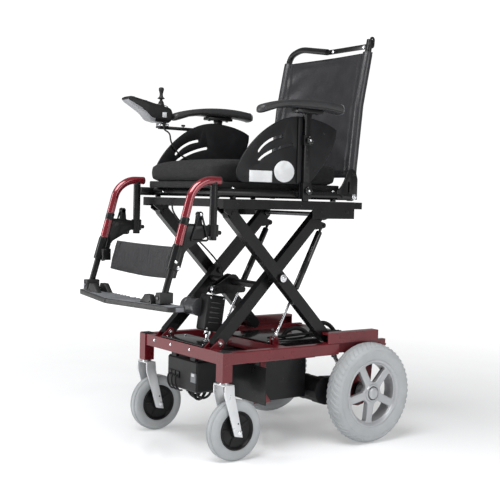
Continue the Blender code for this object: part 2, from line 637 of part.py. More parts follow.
def make_casters():
    crown_top = 2 * CASTER_RADIUS + CROWN_RISE + 0.020
    axle_y = SWIVEL_Y + CASTER_TRAIL
    inside = CASTER_WIDTH / 2 + 0.004
    for name, s in SIDES:
        x0 = s * CASTER_X
        swivel = body("swivel_axis_" + name, (x0, SWIVEL_Y, crown_top), root)
        bar = (SWIVEL_Y - 0.019, SWIVEL_Y + 0.019)
        crown = block((x0 - inside - FORK_BAR, x0 + inside + FORK_BAR), bar,
                      (crown_top - FORK_BAR, crown_top), 0.0015)
        pieces = [crown]
        leg = [(bar[1] - 0.0005, crown_top - 0.002), (bar[0] + 0.0005, crown_top - 0.002),
               (bar[0] + 0.001, crown_top - 0.030)]
        leg += arc((axle_y, CASTER_RADIUS), 0.017, 190, 370, 6)
        leg += [(bar[1] + 0.001, crown_top - 0.030)]
        for side in (-1, 1):
            near = x0 + side * inside
            pieces.append(plate(leg, "x", (near, near + side * FORK_BAR)))
            pieces.append(x_rod((near + side * (FORK_BAR - 0.001), near + side * (FORK_BAR + 0.006)),
                                (axle_y, CASTER_RADIUS), 0.0095, 8))
        pieces.append(x_rod((x0 - inside - 0.003, x0 + inside + 0.003), (axle_y, CASTER_RADIUS),
                            0.005, 8))
        pieces.append(rod((x0, SWIVEL_Y, crown_top - 0.002), (x0, SWIVEL_Y, crown_top + 0.006 - GAP),
                          0.017))
        pieces.append(rod((x0, SWIVEL_Y, crown_top), (x0, SWIVEL_Y, RAIL_TOP - 0.026), 0.010,
                          sides=PIN_SIDES))
        node("caster_fork_" + name, swivel, joined(pieces), "bright_steel")
        centre = (x0, axle_y, CASTER_RADIUS)
        wheel = body("caster_axis_" + name, centre, swivel)
        half = CASTER_WIDTH / 2
        bead, outer = CASTER_RIM + GAP, CASTER_RADIUS
        side = [(bead, 0.70 * half), (outer - 0.022, half), (outer - 0.007, 0.82 * half),
                (outer, 0.36 * half)]
        profile = side + [(r, -h) for r, h in reversed(side)]
        node("caster_tyre_" + name, wheel, turned(profile, centre, sides=20), "grey_tyre")
        hub = [turned([(CASTER_RIM - 0.009, -0.018), (CASTER_RIM, -0.0195), (CASTER_RIM, 0.0195),
                       (CASTER_RIM - 0.009, 0.018)], centre, sides=20)]
        for k in range(SPOKES):
            turn = 2 * pi * k / SPOKES + radians(30)
            outline = []
            for r, w in ((0.012, 0.010), (CASTER_RIM - 0.006, 0.0075),
                         (CASTER_RIM - 0.006, -0.0075), (0.012, -0.010)):
                outline.append((axle_y + r * cos(turn) - w * sin(turn),
                                CASTER_RADIUS + r * sin(turn) + w * cos(turn)))
            hub.append(plate(outline, "x", (x0 - 0.008, x0 + 0.008)))
        hub.append(x_rod((x0 - inside + RUN, x0 + inside - RUN), (axle_y, CASTER_RADIUS), 0.019, 10))
        bore = x_rod((x0 - inside - 0.001, x0 + inside + 0.001), (axle_y, CASTER_RADIUS),
                     turning(0.005), 8)
        node("caster_hub_" + name, wheel, joined(hub, [bore]), "black_plastic")


# Lift
def on_arm(along, off, front_z, rise):
    """A point at a distance along an arm from its front pivot and off its centre line."""
    lean = radians(ARM_ANGLE) * rise
    return (FRONT_PIVOT_Y + along * cos(lean) - off * sin(lean),
            front_z + along * sin(lean) + off * cos(lean))


def cross_tube_at():
    """Centre of the tube between the inner arms."""
    return on_arm((CROSS_TUBE_Y - FRONT_PIVOT_Y) / cos(radians(ARM_ANGLE)), 0, LOW_PIVOT_Z, 1)


def make_scissor():
    low, high = (FRONT_PIVOT_Y, LOW_PIVOT_Z), (ARM_REAR_Y, HIGH_PIVOT_Z)
    arms = body("inner_arms_axis", (0, *low), root)
    tube_at = cross_tube_at()
    head = gas_head()
    pieces, holes = [], []
    pieces.append(x_rod((-INNER_ARM_X, INNER_ARM_X), tube_at, CROSS_TUBE_RADIUS))
    for name, s in SIDES:
        x = pair(s, INNER_ARM_X - ARM_WIDTH / 2, INNER_ARM_X + ARM_WIDTH / 2)
        pieces.append(plate(link_outline(low, high, ARM_DEPTH / 2), "x", x))
        outside = INNER_ARM_X + ARM_WIDTH / 2
        pieces.append(x_rod((s * (outside - 0.004), s * (OUTER_ARM_X - ARM_WIDTH / 2 - SIDE)),
                            MID_PIVOT, 0.018))
        pieces.append(x_rod((s * outside, s * (OUTER_ARM_X + ARM_WIDTH / 2 + 0.004)), MID_PIVOT,
                            0.009, PIN_SIDES))
        pieces.append(x_rod((s * (OUTER_ARM_X + ARM_WIDTH / 2 + SIDE),
                             s * (OUTER_ARM_X + ARM_WIDTH / 2 + 0.010)), MID_PIVOT, 0.0155, 8))
        pieces.append(x_rod((s * (INNER_ARM_X - ARM_WIDTH / 2 - 0.009),
                             s * (INNER_ARM_X - ARM_WIDTH / 2 + 0.002)), MID_PIVOT, 0.012, 6))
        holes.append(x_rod((x[0] - 0.01, x[1] + 0.01), low, turning(PIVOT_PIN), 8))
        holes.append(x_rod((x[0] - 0.01, x[1] + 0.01), high, turning(PIVOT_PIN), 8))
        root_at = on_arm(ARM_LENGTH - 0.036, -ARM_DEPTH / 2 + 0.004, LOW_PIVOT_Z, 1)
        for side in (-1, 1):
            near = INNER_ARM_X + side * 0.0065
            pieces.append(plate(link_outline(root_at, head, 0.017, 0.010, 4), "x",
                                pair(s, near, near + side * 0.004)))
        pieces.append(x_rod((s * (INNER_ARM_X - 0.014), s * (INNER_ARM_X + 0.014)), head, 0.004, 8))
    # Actuator bracket: two cheeks round the cross tube
    u = ACTUATOR_HEAD
    cheek = arc(u, 0.017, 150, 300, 4)
    cheek += arc((tube_at[0] + 0.046, tube_at[1] - 0.030), 0.012, 250, 380, 3)
    cheek += arc((tube_at[0] + 0.004, tube_at[1] + 0.004), 0.022, 40, 120, 3)
    for side in (-1, 1):
        near = ACTUATOR_X + side * (0.0125 + SIDE)
        pieces.append(plate(cheek, "x", (near, near + side * 0.006)))
    pieces.append(x_rod((ACTUATOR_X - 0.024, ACTUATOR_X + 0.024), u, 0.006, 8))
    node("inner_arm_frame", arms, joined(pieces, holes), "black_steel")
    # Axle at the arms' upper ends, with a roller under each guide rail
    reach = OUTER_ARM_X - ARM_WIDTH / 2 - 0.0035
    wheel = INNER_ARM_X + ARM_WIDTH / 2 + SIDE
    axle = [x_rod((-reach, reach), high, PIVOT_PIN, PIN_SIDES)]
    for name, s in SIDES:
        axle.append(x_rod((s * wheel, s * (reach - 0.001)), high, ARM_DEPTH / 2))
        axle.append(x_rod((s * (INNER_ARM_X - ARM_WIDTH / 2 - SIDE),
                           s * (INNER_ARM_X - ARM_WIDTH / 2 - SIDE - 0.006)), high, 0.013, 8))
    node("upper_roller_axle", arms, joined(axle), "bright_steel")

    outer = body("outer_arms_axis", (0, *MID_PIVOT), arms)
    top, bottom = (FRONT_PIVOT_Y, HIGH_PIVOT_Z), (ARM_REAR_Y, LOW_PIVOT_Z)
    for name, s in SIDES:
        x = pair(s, OUTER_ARM_X - ARM_WIDTH / 2, OUTER_ARM_X + ARM_WIDTH / 2)
        wall = RAIL_X + RAIL_WIDTH / 2 - CHANNEL_WALL
        beam = plate(link_outline(top, bottom, ARM_DEPTH / 2), "x", x)
        stub = x_rod((s * OUTER_ARM_X, s * (wall - 0.004)), bottom, 0.006, 12)
        roller = x_rod((s * (OUTER_ARM_X + ARM_WIDTH / 2 + 0.005), s * (wall - 0.0015)), bottom,
                       ROLLER_RADIUS)
        holes = [x_rod((x[0] - 0.01, x[1] + 0.01), MID_PIVOT, turning(0.009), 8),
                 x_rod((x[0] - 0.01, x[1] + 0.01), top, turning(PIVOT_PIN), 8)]
        node("outer_arm_" + name, outer, joined([beam, stub, roller], holes), "black_steel")
    return arms, outer


def make_gas_springs(arms):
    foot, head = gas_foot(), gas_head()
    run = Vector((0, head[0] - foot[0], head[1] - foot[1]))
    along = run.normalized()
    length = run.length
    rods = body("gas_rods_axis", (0, *foot), root)
    tubes = body("gas_tubes_axis", (0, *head), arms)
    for name, s in SIDES:
        a = Vector((s * INNER_ARM_X, *foot))
        b = Vector((s * INNER_ARM_X, *head))
        eye = x_rod((s * (INNER_ARM_X - 0.0055), s * (INNER_ARM_X + 0.0055)), foot, GAS_EYE, 10)
        shaft = rod(a + along * 0.006, a + along * (length - GAS_STROKE - 0.032), GAS_ROD_RADIUS, sides=12)
        hole = x_rod((s * (INNER_ARM_X - 0.01), s * (INNER_ARM_X + 0.01)), foot, turning(0.004), 8)
        node("gas_rod_" + name, rods, joined([eye, shaft], [hole]), "bright_steel")
        low = length - GAS_TUBE_LENGTH
        barrel = rod(a + along * low, b - along * 0.025, GAS_TUBE_RADIUS, sides=10)
        neck = rod(b - along * 0.029, b - along * 0.004, 0.0050, sides=8)
        eye = x_rod((s * (INNER_ARM_X - 0.0055), s * (INNER_ARM_X + 0.0055)), head, GAS_EYE, 10)
        bore = rod(a + along * (low - 0.01), b - along * 0.030, GAS_BORE, sides=10)
        hole = x_rod((s * (INNER_ARM_X - 0.01), s * (INNER_ARM_X + 0.01)), head, turning(0.004), 8)
        node("gas_tube_" + name, tubes, joined([barrel, neck, eye], [bore, hole]), "black_steel")


def make_actuator(arms):
    foot = Vector((ACTUATOR_X, *ACTUATOR_FOOT))
    head = Vector((ACTUATOR_X, *ACTUATOR_HEAD))
    along = (head - foot).normalized()
    length = (head - foot).length
    rods = body("actuator_rod_axis", foot, root)
    housing = body("actuator_axis", head, arms)
    eye = x_rod((ACTUATOR_X - 0.0115, ACTUATOR_X + 0.0115), ACTUATOR_FOOT, 0.0135)
    shaft = rod(foot + along * 0.006, foot + along * (length - 0.086), ACTUATOR_ROD)
    hole = x_rod((ACTUATOR_X - 0.02, ACTUATOR_X + 0.02), ACTUATOR_FOOT, turning(0.006), 8)
    node("actuator_rod", rods, joined([eye, shaft], [hole]), "bright_steel")
    lean = along.to_track_quat("Z", "Y").to_matrix().to_4x4()
    wide, deep, tall = ACTUATOR_BOX
    top_gap = 0.020
    box = block((-wide / 2, wide / 2), (-deep / 2, deep / 2), (-top_gap - tall, -top_gap), 0.007)
    box.data.transform(Matrix.Translation(head) @ Matrix.Rotation(atan2(along.y, along.z) * -1, 4, "X"))
    neck = rod(head - along * 0.026, head - along * 0.004, 0.0095, sides=10)
    eye = x_rod((ACTUATOR_X - 0.0115, ACTUATOR_X + 0.0115), ACTUATOR_HEAD, 0.0135)
    collar = rod(head - along * (top_gap + tall + 0.012), head - along * (top_gap + tall - 0.004),
                 0.017, sides=16)
    middle = head - along * (top_gap + 0.040)
    reach = ACTUATOR_X - 0.012 + INNER_ARM_X - ARM_WIDTH / 2 - 0.004
    can = [(0, 0), (ACTUATOR_MOTOR, 0), (ACTUATOR_MOTOR, reach - 0.014),
           (ACTUATOR_MOTOR * 0.86, reach - 0.004), (ACTUATOR_MOTOR * 0.5, reach), (0, reach)]
    motor = turned(can, (ACTUATOR_X - 0.012, ACTUATOR_MOTOR_Y, middle.z - 0.004), (-1, 0, 0), 16,
                   ring=False)
    knob_at = Vector((ACTUATOR_X - 0.060, ACTUATOR_MOTOR_Y, middle.z + ACTUATOR_MOTOR - 0.008))
    knob = rod(knob_at, knob_at + Vector((0, 0, 0.014)), 0.009, 0.006, 8)
    bore = rod(head - along * (top_gap + tall + 0.02), head - along * (top_gap + 0.018),
               ACTUATOR_ROD + 0.0012)
    hole = x_rod((ACTUATOR_X - 0.02, ACTUATOR_X + 0.02), ACTUATOR_HEAD, turning(0.006), 8)
    node("actuator_housing", housing, joined([box, neck, eye, collar, motor, knob], [bore, hole]),
         "black_plastic")


make_base()
make_power_unit()
make_covers()
make_drive_wheels()
make_casters()
inner_arms, outer_arms = make_scissor()
make_gas_springs(inner_arms)
make_actuator(inner_arms)


# Lift frame and seat
def make_lift_frame(carrier):
    seat = body("lift_frame_axis", (0, FRONT_PIVOT_Y, HIGH_PIVOT_Z), carrier)
    guide_bottom = HIGH_PIVOT_Z + ARM_DEPTH / 2 + RUN
    side_x = OUTER_ARM_X + ARM_WIDTH / 2 + SIDE
    rail = (side_x, side_x + LIFT_RAIL_WIDTH)
    rail_bottom = LIFT_TOP - LIFT_RAIL_DEPTH
    front = (LIFT_FRONT_Y, LIFT_FRONT_Y + 0.030)
    rear_y = ARM_REAR_Y + 0.070
    guide = (INNER_ARM_X - 0.007, OUTER_ARM_X - ARM_WIDTH / 2 - 0.002)
    pieces = [block((-rail[0] - 0.004, rail[0] + 0.004), front, (guide_bottom, LIFT_TOP - 0.0003)),
              block((-rail[0] - 0.004, rail[0] + 0.004), (rear_y - 0.015, rear_y + 0.015),
                    (guide_bottom, LIFT_TOP - 0.0003))]
    for name, s in SIDES:
        pieces.append(block(pair(s, *rail), (LIFT_FRONT_Y, ARM_REAR_Y + 0.083),
                            (rail_bottom, LIFT_TOP)))
        pieces.append(block(pair(s, *guide), (front[1] - 0.004, ARM_REAR_LOW_Y + 0.038),
                            (guide_bottom + 0.0002, LIFT_TOP - 0.0008)))
        # Skirt over the arms' upper ends
        pieces.append(block(pair(s, rail[1] - 0.004, rail[1] + 0.0004),
                            (ARM_REAR_Y - 0.103, ARM_REAR_Y + 0.0834),
                            (HIGH_PIVOT_Z - 0.013, LIFT_TOP - 0.002)))
        # Front pivot of the outer arm
        outside = [(FRONT_PIVOT_Y + 0.022, rail_bottom + 0.010), (FRONT_PIVOT_Y - 0.034, rail_bottom + 0.010),
                   (FRONT_PIVOT_Y - 0.034, rail_bottom - 0.010)]
        outside += arc((FRONT_PIVOT_Y, HIGH_PIVOT_Z), 0.016, 200, 340, 4)
        pieces.append(plate(outside, "x", pair(s, rail[0] + 0.0002, rail[0] + 0.006)))
        near = OUTER_ARM_X - ARM_WIDTH / 2 - SIDE
        inside = [(FRONT_PIVOT_Y + 0.016, guide_bottom + 0.008), (front[0] + 0.006, guide_bottom + 0.008),
                  (front[0] + 0.006, guide_bottom - 0.002)]
        inside += arc((FRONT_PIVOT_Y, HIGH_PIVOT_Z), 0.016, 200, 350, 4)
        pieces.append(plate(inside, "x", pair(s, near - 0.005, near)))
        pieces.append(x_rod((s * (near - 0.008), s * (rail[0] + 0.009)), (FRONT_PIVOT_Y, HIGH_PIVOT_Z),
                            PIVOT_PIN, PIN_SIDES))
    node("lift_frame", seat, joined(pieces), "black_steel")
    return seat


def make_seat(seat):
    tube_z = SEAT_TUBE_Z
    pieces, holes = [], []
    half = CUSHION_SIZE[0] / 2
    pieces.append(block((-half + 0.004, half - 0.004), (CUSHION_FRONT_Y + 0.006, SEAT_REAR_Y - 0.022),
                        (BOARD_TOP - BOARD, BOARD_TOP), 0.003))
    for y in (SEAT_FRONT_Y + 0.060, SEAT_REAR_Y - 0.042):
        pieces.append(rod((-SEAT_TUBE_X, y, tube_z), (SEAT_TUBE_X, y, tube_z), SEAT_TUBE - GAP, sides=10))
    for name, s in SIDES:
        pieces.append(rod((s * SEAT_TUBE_X, SEAT_FRONT_Y, tube_z), (s * SEAT_TUBE_X, SEAT_REAR_Y, tube_z),
                          SEAT_TUBE))
        # Spacers down to the lift frame
        for y in (SEAT_FRONT_Y + 0.075, SEAT_REAR_Y - 0.067):
            pieces.append(rod((s * SEAT_TUBE_X, y, LIFT_TOP + GAP), (s * SEAT_TUBE_X, y, tube_z), 0.010,
                              sides=8))
        # Front post that the hanger swings on
        post = (s * HANGER_X, HANGER_POST_Y)
        pieces.append(rod((*post, HANGER_LOW), (*post, HANGER_HIGH), POST_RADIUS,
                          sides=PIN_SIDES))
        holes.append(rod((*post, HANGER_HIGH - 0.035), (*post, HANGER_HIGH + 0.01), turning(0.006), sides=8))
        # Bracket that carries the side panel and the arm post's socket
        pieces.append(block(pair(s, SEAT_TUBE_X + 0.004, PANEL_X - PANEL_THICK / 2 - GAP),
                            (ARM_POST_Y - 0.022, ARM_POST_Y + 0.022), (tube_z - 0.008, tube_z + 0.010)))
        # Recline plate and its pivot pin
        ear_x = CANE_X + CANE_RADIUS + SLEEVE_PLAY + SLEEVE + SIDE
        x = pair(s, ear_x, ear_x + 0.005)
        outline = [(RECLINE_Y - 0.078, tube_z - 0.012), (RECLINE_Y + 0.014, tube_z - 0.012)]
        outline += [(RECLINE_Y + 0.014, RECLINE_Z + 0.070), (RECLINE_Y - 0.004, RECLINE_Z + 0.096),
                    (RECLINE_Y - 0.052, RECLINE_Z + 0.096), (RECLINE_Y - 0.056, RECLINE_Z + 0.078),
                    (RECLINE_Y - 0.070, RECLINE_Z + 0.078), (RECLINE_Y - 0.074, RECLINE_Z + 0.096),
                    (RECLINE_Y - 0.082, RECLINE_Z + 0.092)]
        pieces.append(plate(outline, "x", x))
        slot = link_outline((RECLINE_Y - 0.026, RECLINE_Z + 0.016), (RECLINE_Y - 0.026, RECLINE_Z + 0.050),
                            0.004, steps=4)
        holes.append(plate(slot, "x", (x[0] - 0.01, x[1] + 0.01)))
        pieces.append(block(pair(s, SEAT_TUBE_X - 0.004, ear_x + 0.003),
                            (RECLINE_Y - 0.070, RECLINE_Y - 0.028), (tube_z - 0.009, tube_z + 0.009)))
        pieces.append(x_rod((s * (CANE_X - 0.014), s * (ear_x + 0.004)),
                            (RECLINE_Y, RECLINE_Z), 0.006, 8))
    node("seat_frame", seat, joined(pieces, holes), "black_steel")
    node("seat_cushion", seat, cushion(), "black_cloth")


def cushion():
    """Boxed cushion with a crowned top and sides drawn in between its piped edges."""
    wide, deep, tall = CUSHION_SIZE
    bm = bmesh.new()
    bmesh.ops.create_grid(bm, x_segments=9, y_segments=10, size=0.5)
    bottom = list(bm.faces)
    grown = bmesh.ops.extrude_face_region(bm, geom=bottom)["geom"]
    bmesh.ops.translate(bm, vec=(0, 0, 1), verts=[g for g in grown if isinstance(g, bmesh.types.BMVert)])
    walls = [e for e in bm.edges if abs(e.verts[0].co.z - e.verts[1].co.z) > 0.5]
    bmesh.ops.subdivide_edges(bm, edges=walls, cuts=3, use_grid_fill=True)
    for v in bm.verts:
        u, w, h = v.co.x * 2, v.co.y * 2, v.co.z
        round_off = (1 - abs(u) ** 8) * (1 - abs(w) ** 8)
        edge = max(abs(u), abs(w))
        tuck = 0.0
        if edge > 0.999:
            tuck = -0.004 * sin(pi * h)
            corner = min(abs(u), abs(w))
            tuck -= 0.010 * corner ** 10
            lift = cos(pi * h) * 0.006
        else:
            lift = 0.0
        x = u * (wide / 2 + tuck)
        y = w * (deep / 2 + tuck)
        z = h * tall
        if h > 0.99:
            z += 0.010 * (1 - u * u) * (1 - w * w) - 0.010 * (1 - round_off)
        if h < 0.01:
            z += 0.004 * (1 - round_off)
        if w < 0:
            z -= 0.012 * max(0, -w - 0.72) / 0.28 * h
        v.co = (x, y, z)
    bmesh.ops.translate(bm, vec=(0, CUSHION_FRONT_Y + deep / 2, CUSHION_BOTTOM), verts=bm.verts)
    return mesh_object(bm)


def make_side_panels(seat):
    for name, s in SIDES:
        x = pair(s, PANEL_X - PANEL_THICK / 2, PANEL_X + PANEL_THICK / 2)
        reach, rise = PANEL_CREST_Y - PANEL_FRONT_Y, PANEL_TOP - PANEL_BOTTOM
        outline = []
        for i in range(10):
            t = radians(90 * i / 9)
            outline.append((PANEL_CREST_Y - reach * cos(t), PANEL_BOTTOM + 0.012 + (rise - 0.012) * sin(t)))
        rear_top = (PANEL_REAR_Y, PANEL_TOP - 0.036)
        rear_low = (ARM_POST_Y + 0.020, PANEL_BOTTOM)
        outline += [(PANEL_CREST_Y + 0.112, PANEL_TOP - 0.014)]
        outline += bezier(rear_top, (rear_top[0] + 0.006, rear_top[1] - 0.060),
                          (rear_top[0] - 0.060, rear_low[1] + 0.060), rear_low, 7)
        outline += [(ARM_POST_Y + 0.020, SEAT_TUBE_Z - 0.012), (ARM_POST_Y - 0.020, SEAT_TUBE_Z - 0.012),
                    (ARM_POST_Y - 0.020, PANEL_BOTTOM), (PANEL_FRONT_Y + 0.002, PANEL_BOTTOM)]
        pieces = [plate(outline, "x", x)]
        holes = []
        for inset, begin, end in ((0.052, 26, 76), (0.088, 30, 72)):
            slot = []
            for i in range(7):
                t = radians(begin + (end - begin) * i / 6)
                slot.append((PANEL_CREST_Y - (reach - inset) * cos(t),
                             PANEL_BOTTOM + (rise - inset) * sin(t)))
            for i in range(7):
                t = radians(end - (end - begin) * i / 6)
                slot.append((PANEL_CREST_Y - (reach - inset - 0.009) * cos(t),
                             PANEL_BOTTOM + (rise - inset - 0.009) * sin(t)))
            holes.append(plate(slot, "x", (x[0] - 0.01, x[1] + 0.01)))
        # Socket and guide for the arm post, with their knobs
        inner = PANEL_X + PANEL_THICK / 2
        post = post_span()
        for low, high in ((SEAT_TUBE_Z - 0.012, SEAT_TUBE_Z + 0.040), (PANEL_TOP - 0.095, PANEL_TOP - 0.062)):
            pieces.append(block(pair(s, inner - 0.003, post[1] + 0.005),
                                (ARM_POST_Y - ARM_POST[1] / 2 - 0.006, ARM_POST_Y + ARM_POST[1] / 2 + 0.006),
                                (low, high), 0.0015))
            holes.append(block(pair(s, post[0] - RUN, post[1] + RUN),
                               (ARM_POST_Y - ARM_POST[1] / 2 - RUN, ARM_POST_Y + ARM_POST[1] / 2 + RUN),
                               (low - 0.01, high + 0.01)))
            knob_z = (low + high) / 2
            pieces.append(x_rod((s * (post[1] + 0.004), s * (post[1] + 0.017)), (ARM_POST_Y, knob_z), 0.012, 8))
        node("side_panel_" + name, seat, joined(pieces, holes), "black_plastic")


def post_span():
    """Arm post from its inner to its outer face, measured from the centre plane."""
    inner = PANEL_X + PANEL_THICK / 2 + 0.0015
    return (inner, inner + ARM_POST[0])


def make_backrest(seat):
    back = body("backrest_axis", (0, RECLINE_Y, RECLINE_Z), seat)
    knee, top = CANE_KNEE, CANE_TOP
    foot = (RECLINE_Y, RECLINE_Z)
    shared = [(foot[0] + 0.001, foot[1] + 0.008), (foot[0] + 0.004, foot[1] + 0.080)]
    left = [(CANE_X, *p) for p in shared] + [(CANE_X, *knee), (CANE_X, *top)]
    bend_z = top[1] - 0.014
    bend_y = knee[0] + (top[0] - knee[0]) * (bend_z - knee[1]) / (top[1] - knee[1])
    right = [(-CANE_X, *p) for p in shared] + [(-CANE_X, *knee),
             (-CANE_X, bend_y, bend_z), (-CANE_X + 0.075, top[0] - 0.008, top[1] + 0.004),
             (0.018, top[0] - 0.020, top[1] - 0.024)]
    for name, s, route in (("left", 1, left), ("right", -1, right)):
        pieces = [pipe(rounded_route(route, 0.034, 3), CANE_RADIUS)]
        pieces.append(x_rod((s * (CANE_X - CANE_RADIUS + 0.0005), s * (CANE_X + CANE_RADIUS - 0.0005)), foot, 0.015))
        if s > 0:
            bar_z = top[1] - 0.022
            bar = block((0.0, CANE_X), (top[0] - 0.005, top[0] + 0.001), (bar_z - 0.009, bar_z + 0.009), 0.001)
            pieces.append(bar)
            pieces.append(rod((0.008, top[0] - 0.004, bar_z), (0.008, top[0] + 0.010, bar_z), 0.006, sides=8))
        hole = x_rod((s * (CANE_X - 0.02), s * (CANE_X + 0.02)), foot, turning(0.006), 8)
        node("back_cane_" + name, back, joined(pieces, [hole]), "black_steel")
    # Sling with a sleeve round each cane
    def cane_y(z):
        if z < knee[1]:
            share = (z - foot[1] - 0.080) / (knee[1] - foot[1] - 0.080)
            return foot[0] + 0.004 + (knee[0] - foot[0] - 0.004) * share
        return knee[0] + (top[0] - knee[0]) * (z - knee[1]) / (top[1] - knee[1])

    rows, columns = 5, 8
    bm = bmesh.new()
    layers = []
    for side in (-1, 1):
        grid = []
        for i in range(rows + 1):
            z = SLING_BOTTOM + (SLING_TOP - SLING_BOTTOM) * i / rows
            line = []
            for k in range(columns + 1):
                u = 2 * k / columns - 1
                sag = 0.020 * (1 - u * u) * (0.6 + 0.4 * sin(pi * i / rows))
                thick = SLING_THICK / 2 * (1 - 0.30 * abs(sin(pi * 2.0 * u)) ** 6)
                line.append(bm.verts.new((u * (CANE_X - 0.003), cane_y(z) + sag + side * thick, z)))
            grid.append(line)
        layers.append(grid)
    front, rear = layers
    for grid in layers:
        for i in range(rows):
            for k in range(columns):
                bm.faces.new((grid[i][k], grid[i][k + 1], grid[i + 1][k + 1], grid[i + 1][k]))
    for i in range(rows):
        for k in (0, columns):
            bm.faces.new((front[i][k], front[i + 1][k], rear[i + 1][k], rear[i][k]))
    for k in range(columns):
        for i in (0, rows):
            bm.faces.new((front[i][k], front[i][k + 1], rear[i][k + 1], rear[i][k]))
    pieces, holes = [mesh_object(bm)], []
    for s in (1, -1):
        line = [(s * CANE_X, cane_y(SLING_BOTTOM + 0.001), SLING_BOTTOM + 0.001)]
        line.append((s * CANE_X, *knee))
        line.append((s * CANE_X, cane_y(SLING_TOP - 0.001), SLING_TOP - 0.001))
        pieces.append(pipe(line, CANE_RADIUS + SLEEVE_PLAY + SLEEVE))
        longer = [(s * CANE_X, cane_y(SLING_BOTTOM - 0.02), SLING_BOTTOM - 0.02)] + line[1:-1]
        longer.append((s * CANE_X, cane_y(SLING_TOP + 0.01), SLING_TOP + 0.01))
        holes.append(pipe(longer, CANE_RADIUS + SLEEVE_PLAY))
    node("back_upholstery", back, joined(pieces, holes), "dark_vinyl")
    return back


def make_armrests(seat):
    made = {}
    post = post_span()
    middle = (post[0] + post[1]) / 2
    for name, s in SIDES:
        arm = body("armrest_axis_" + name, (s * middle, ARM_POST_Y, PANEL_TOP), seat)
        made[name] = arm
        y = (ARM_POST_Y - ARM_POST[1] / 2, ARM_POST_Y + ARM_POST[1] / 2)
        bar = block(pair(s, *post), y, (SEAT_TUBE_Z - 0.020, PAD_CREST - PAD_THICK - 0.012), 0.001)
        shelf = block(pair(s, middle - 0.018, middle + 0.018), (ARM_POST_Y - 0.055, ARM_POST_Y + 0.055),
                      (PAD_CREST - PAD_THICK - 0.014, PAD_CREST - PAD_THICK - 0.002 - GAP), 0.001)
        pieces, holes = [bar, shelf], []
        if s < 0:
            # Clamp for the controller's bar, outside the post
            box_y = (ARM_POST_Y - 0.035, ARM_POST_Y + 0.035)
            half = CONTROL_BAR / 2
            pieces.append(block(pair(s, post[1] - 0.001, CONTROL_X + half + 0.005), box_y,
                                (CONTROL_Z - half - 0.006, CONTROL_Z + half + 0.006), 0.0015))
            holes.append(block(pair(s, CONTROL_X - half - RUN, CONTROL_X + half + RUN),
                               (box_y[0] - 0.01, box_y[1] + 0.01),
                               (CONTROL_Z - half - RUN, CONTROL_Z + half + RUN)))
        node("arm_post_" + name, arm, joined(pieces, holes), "black_steel")
        under = PAD_CREST - PAD_THICK - 0.002
        top = bezier((PAD_REAR_Y, PAD_CREST - 0.022), (PAD_REAR_Y - 0.08, PAD_CREST + 0.004),
                     (PAD_FRONT_Y + 0.13, PAD_CREST + 0.004), (PAD_FRONT_Y, PAD_CREST - 0.042), 12)
        low = [(PAD_FRONT_Y + 0.004, under - 0.028), (PAD_FRONT_Y + 0.030, under - 0.020),
               (ARM_POST_Y - 0.095, under), (PAD_REAR_Y - 0.050, under), (PAD_REAR_Y - 0.004, under + 0.002)]
        pad = plate(top + low, "x", pair(s, middle - PAD_WIDTH / 2, middle + PAD_WIDTH / 2), 0.007, 2)
        node("arm_pad_" + name, arm, pad, "black_rubber")
    return made


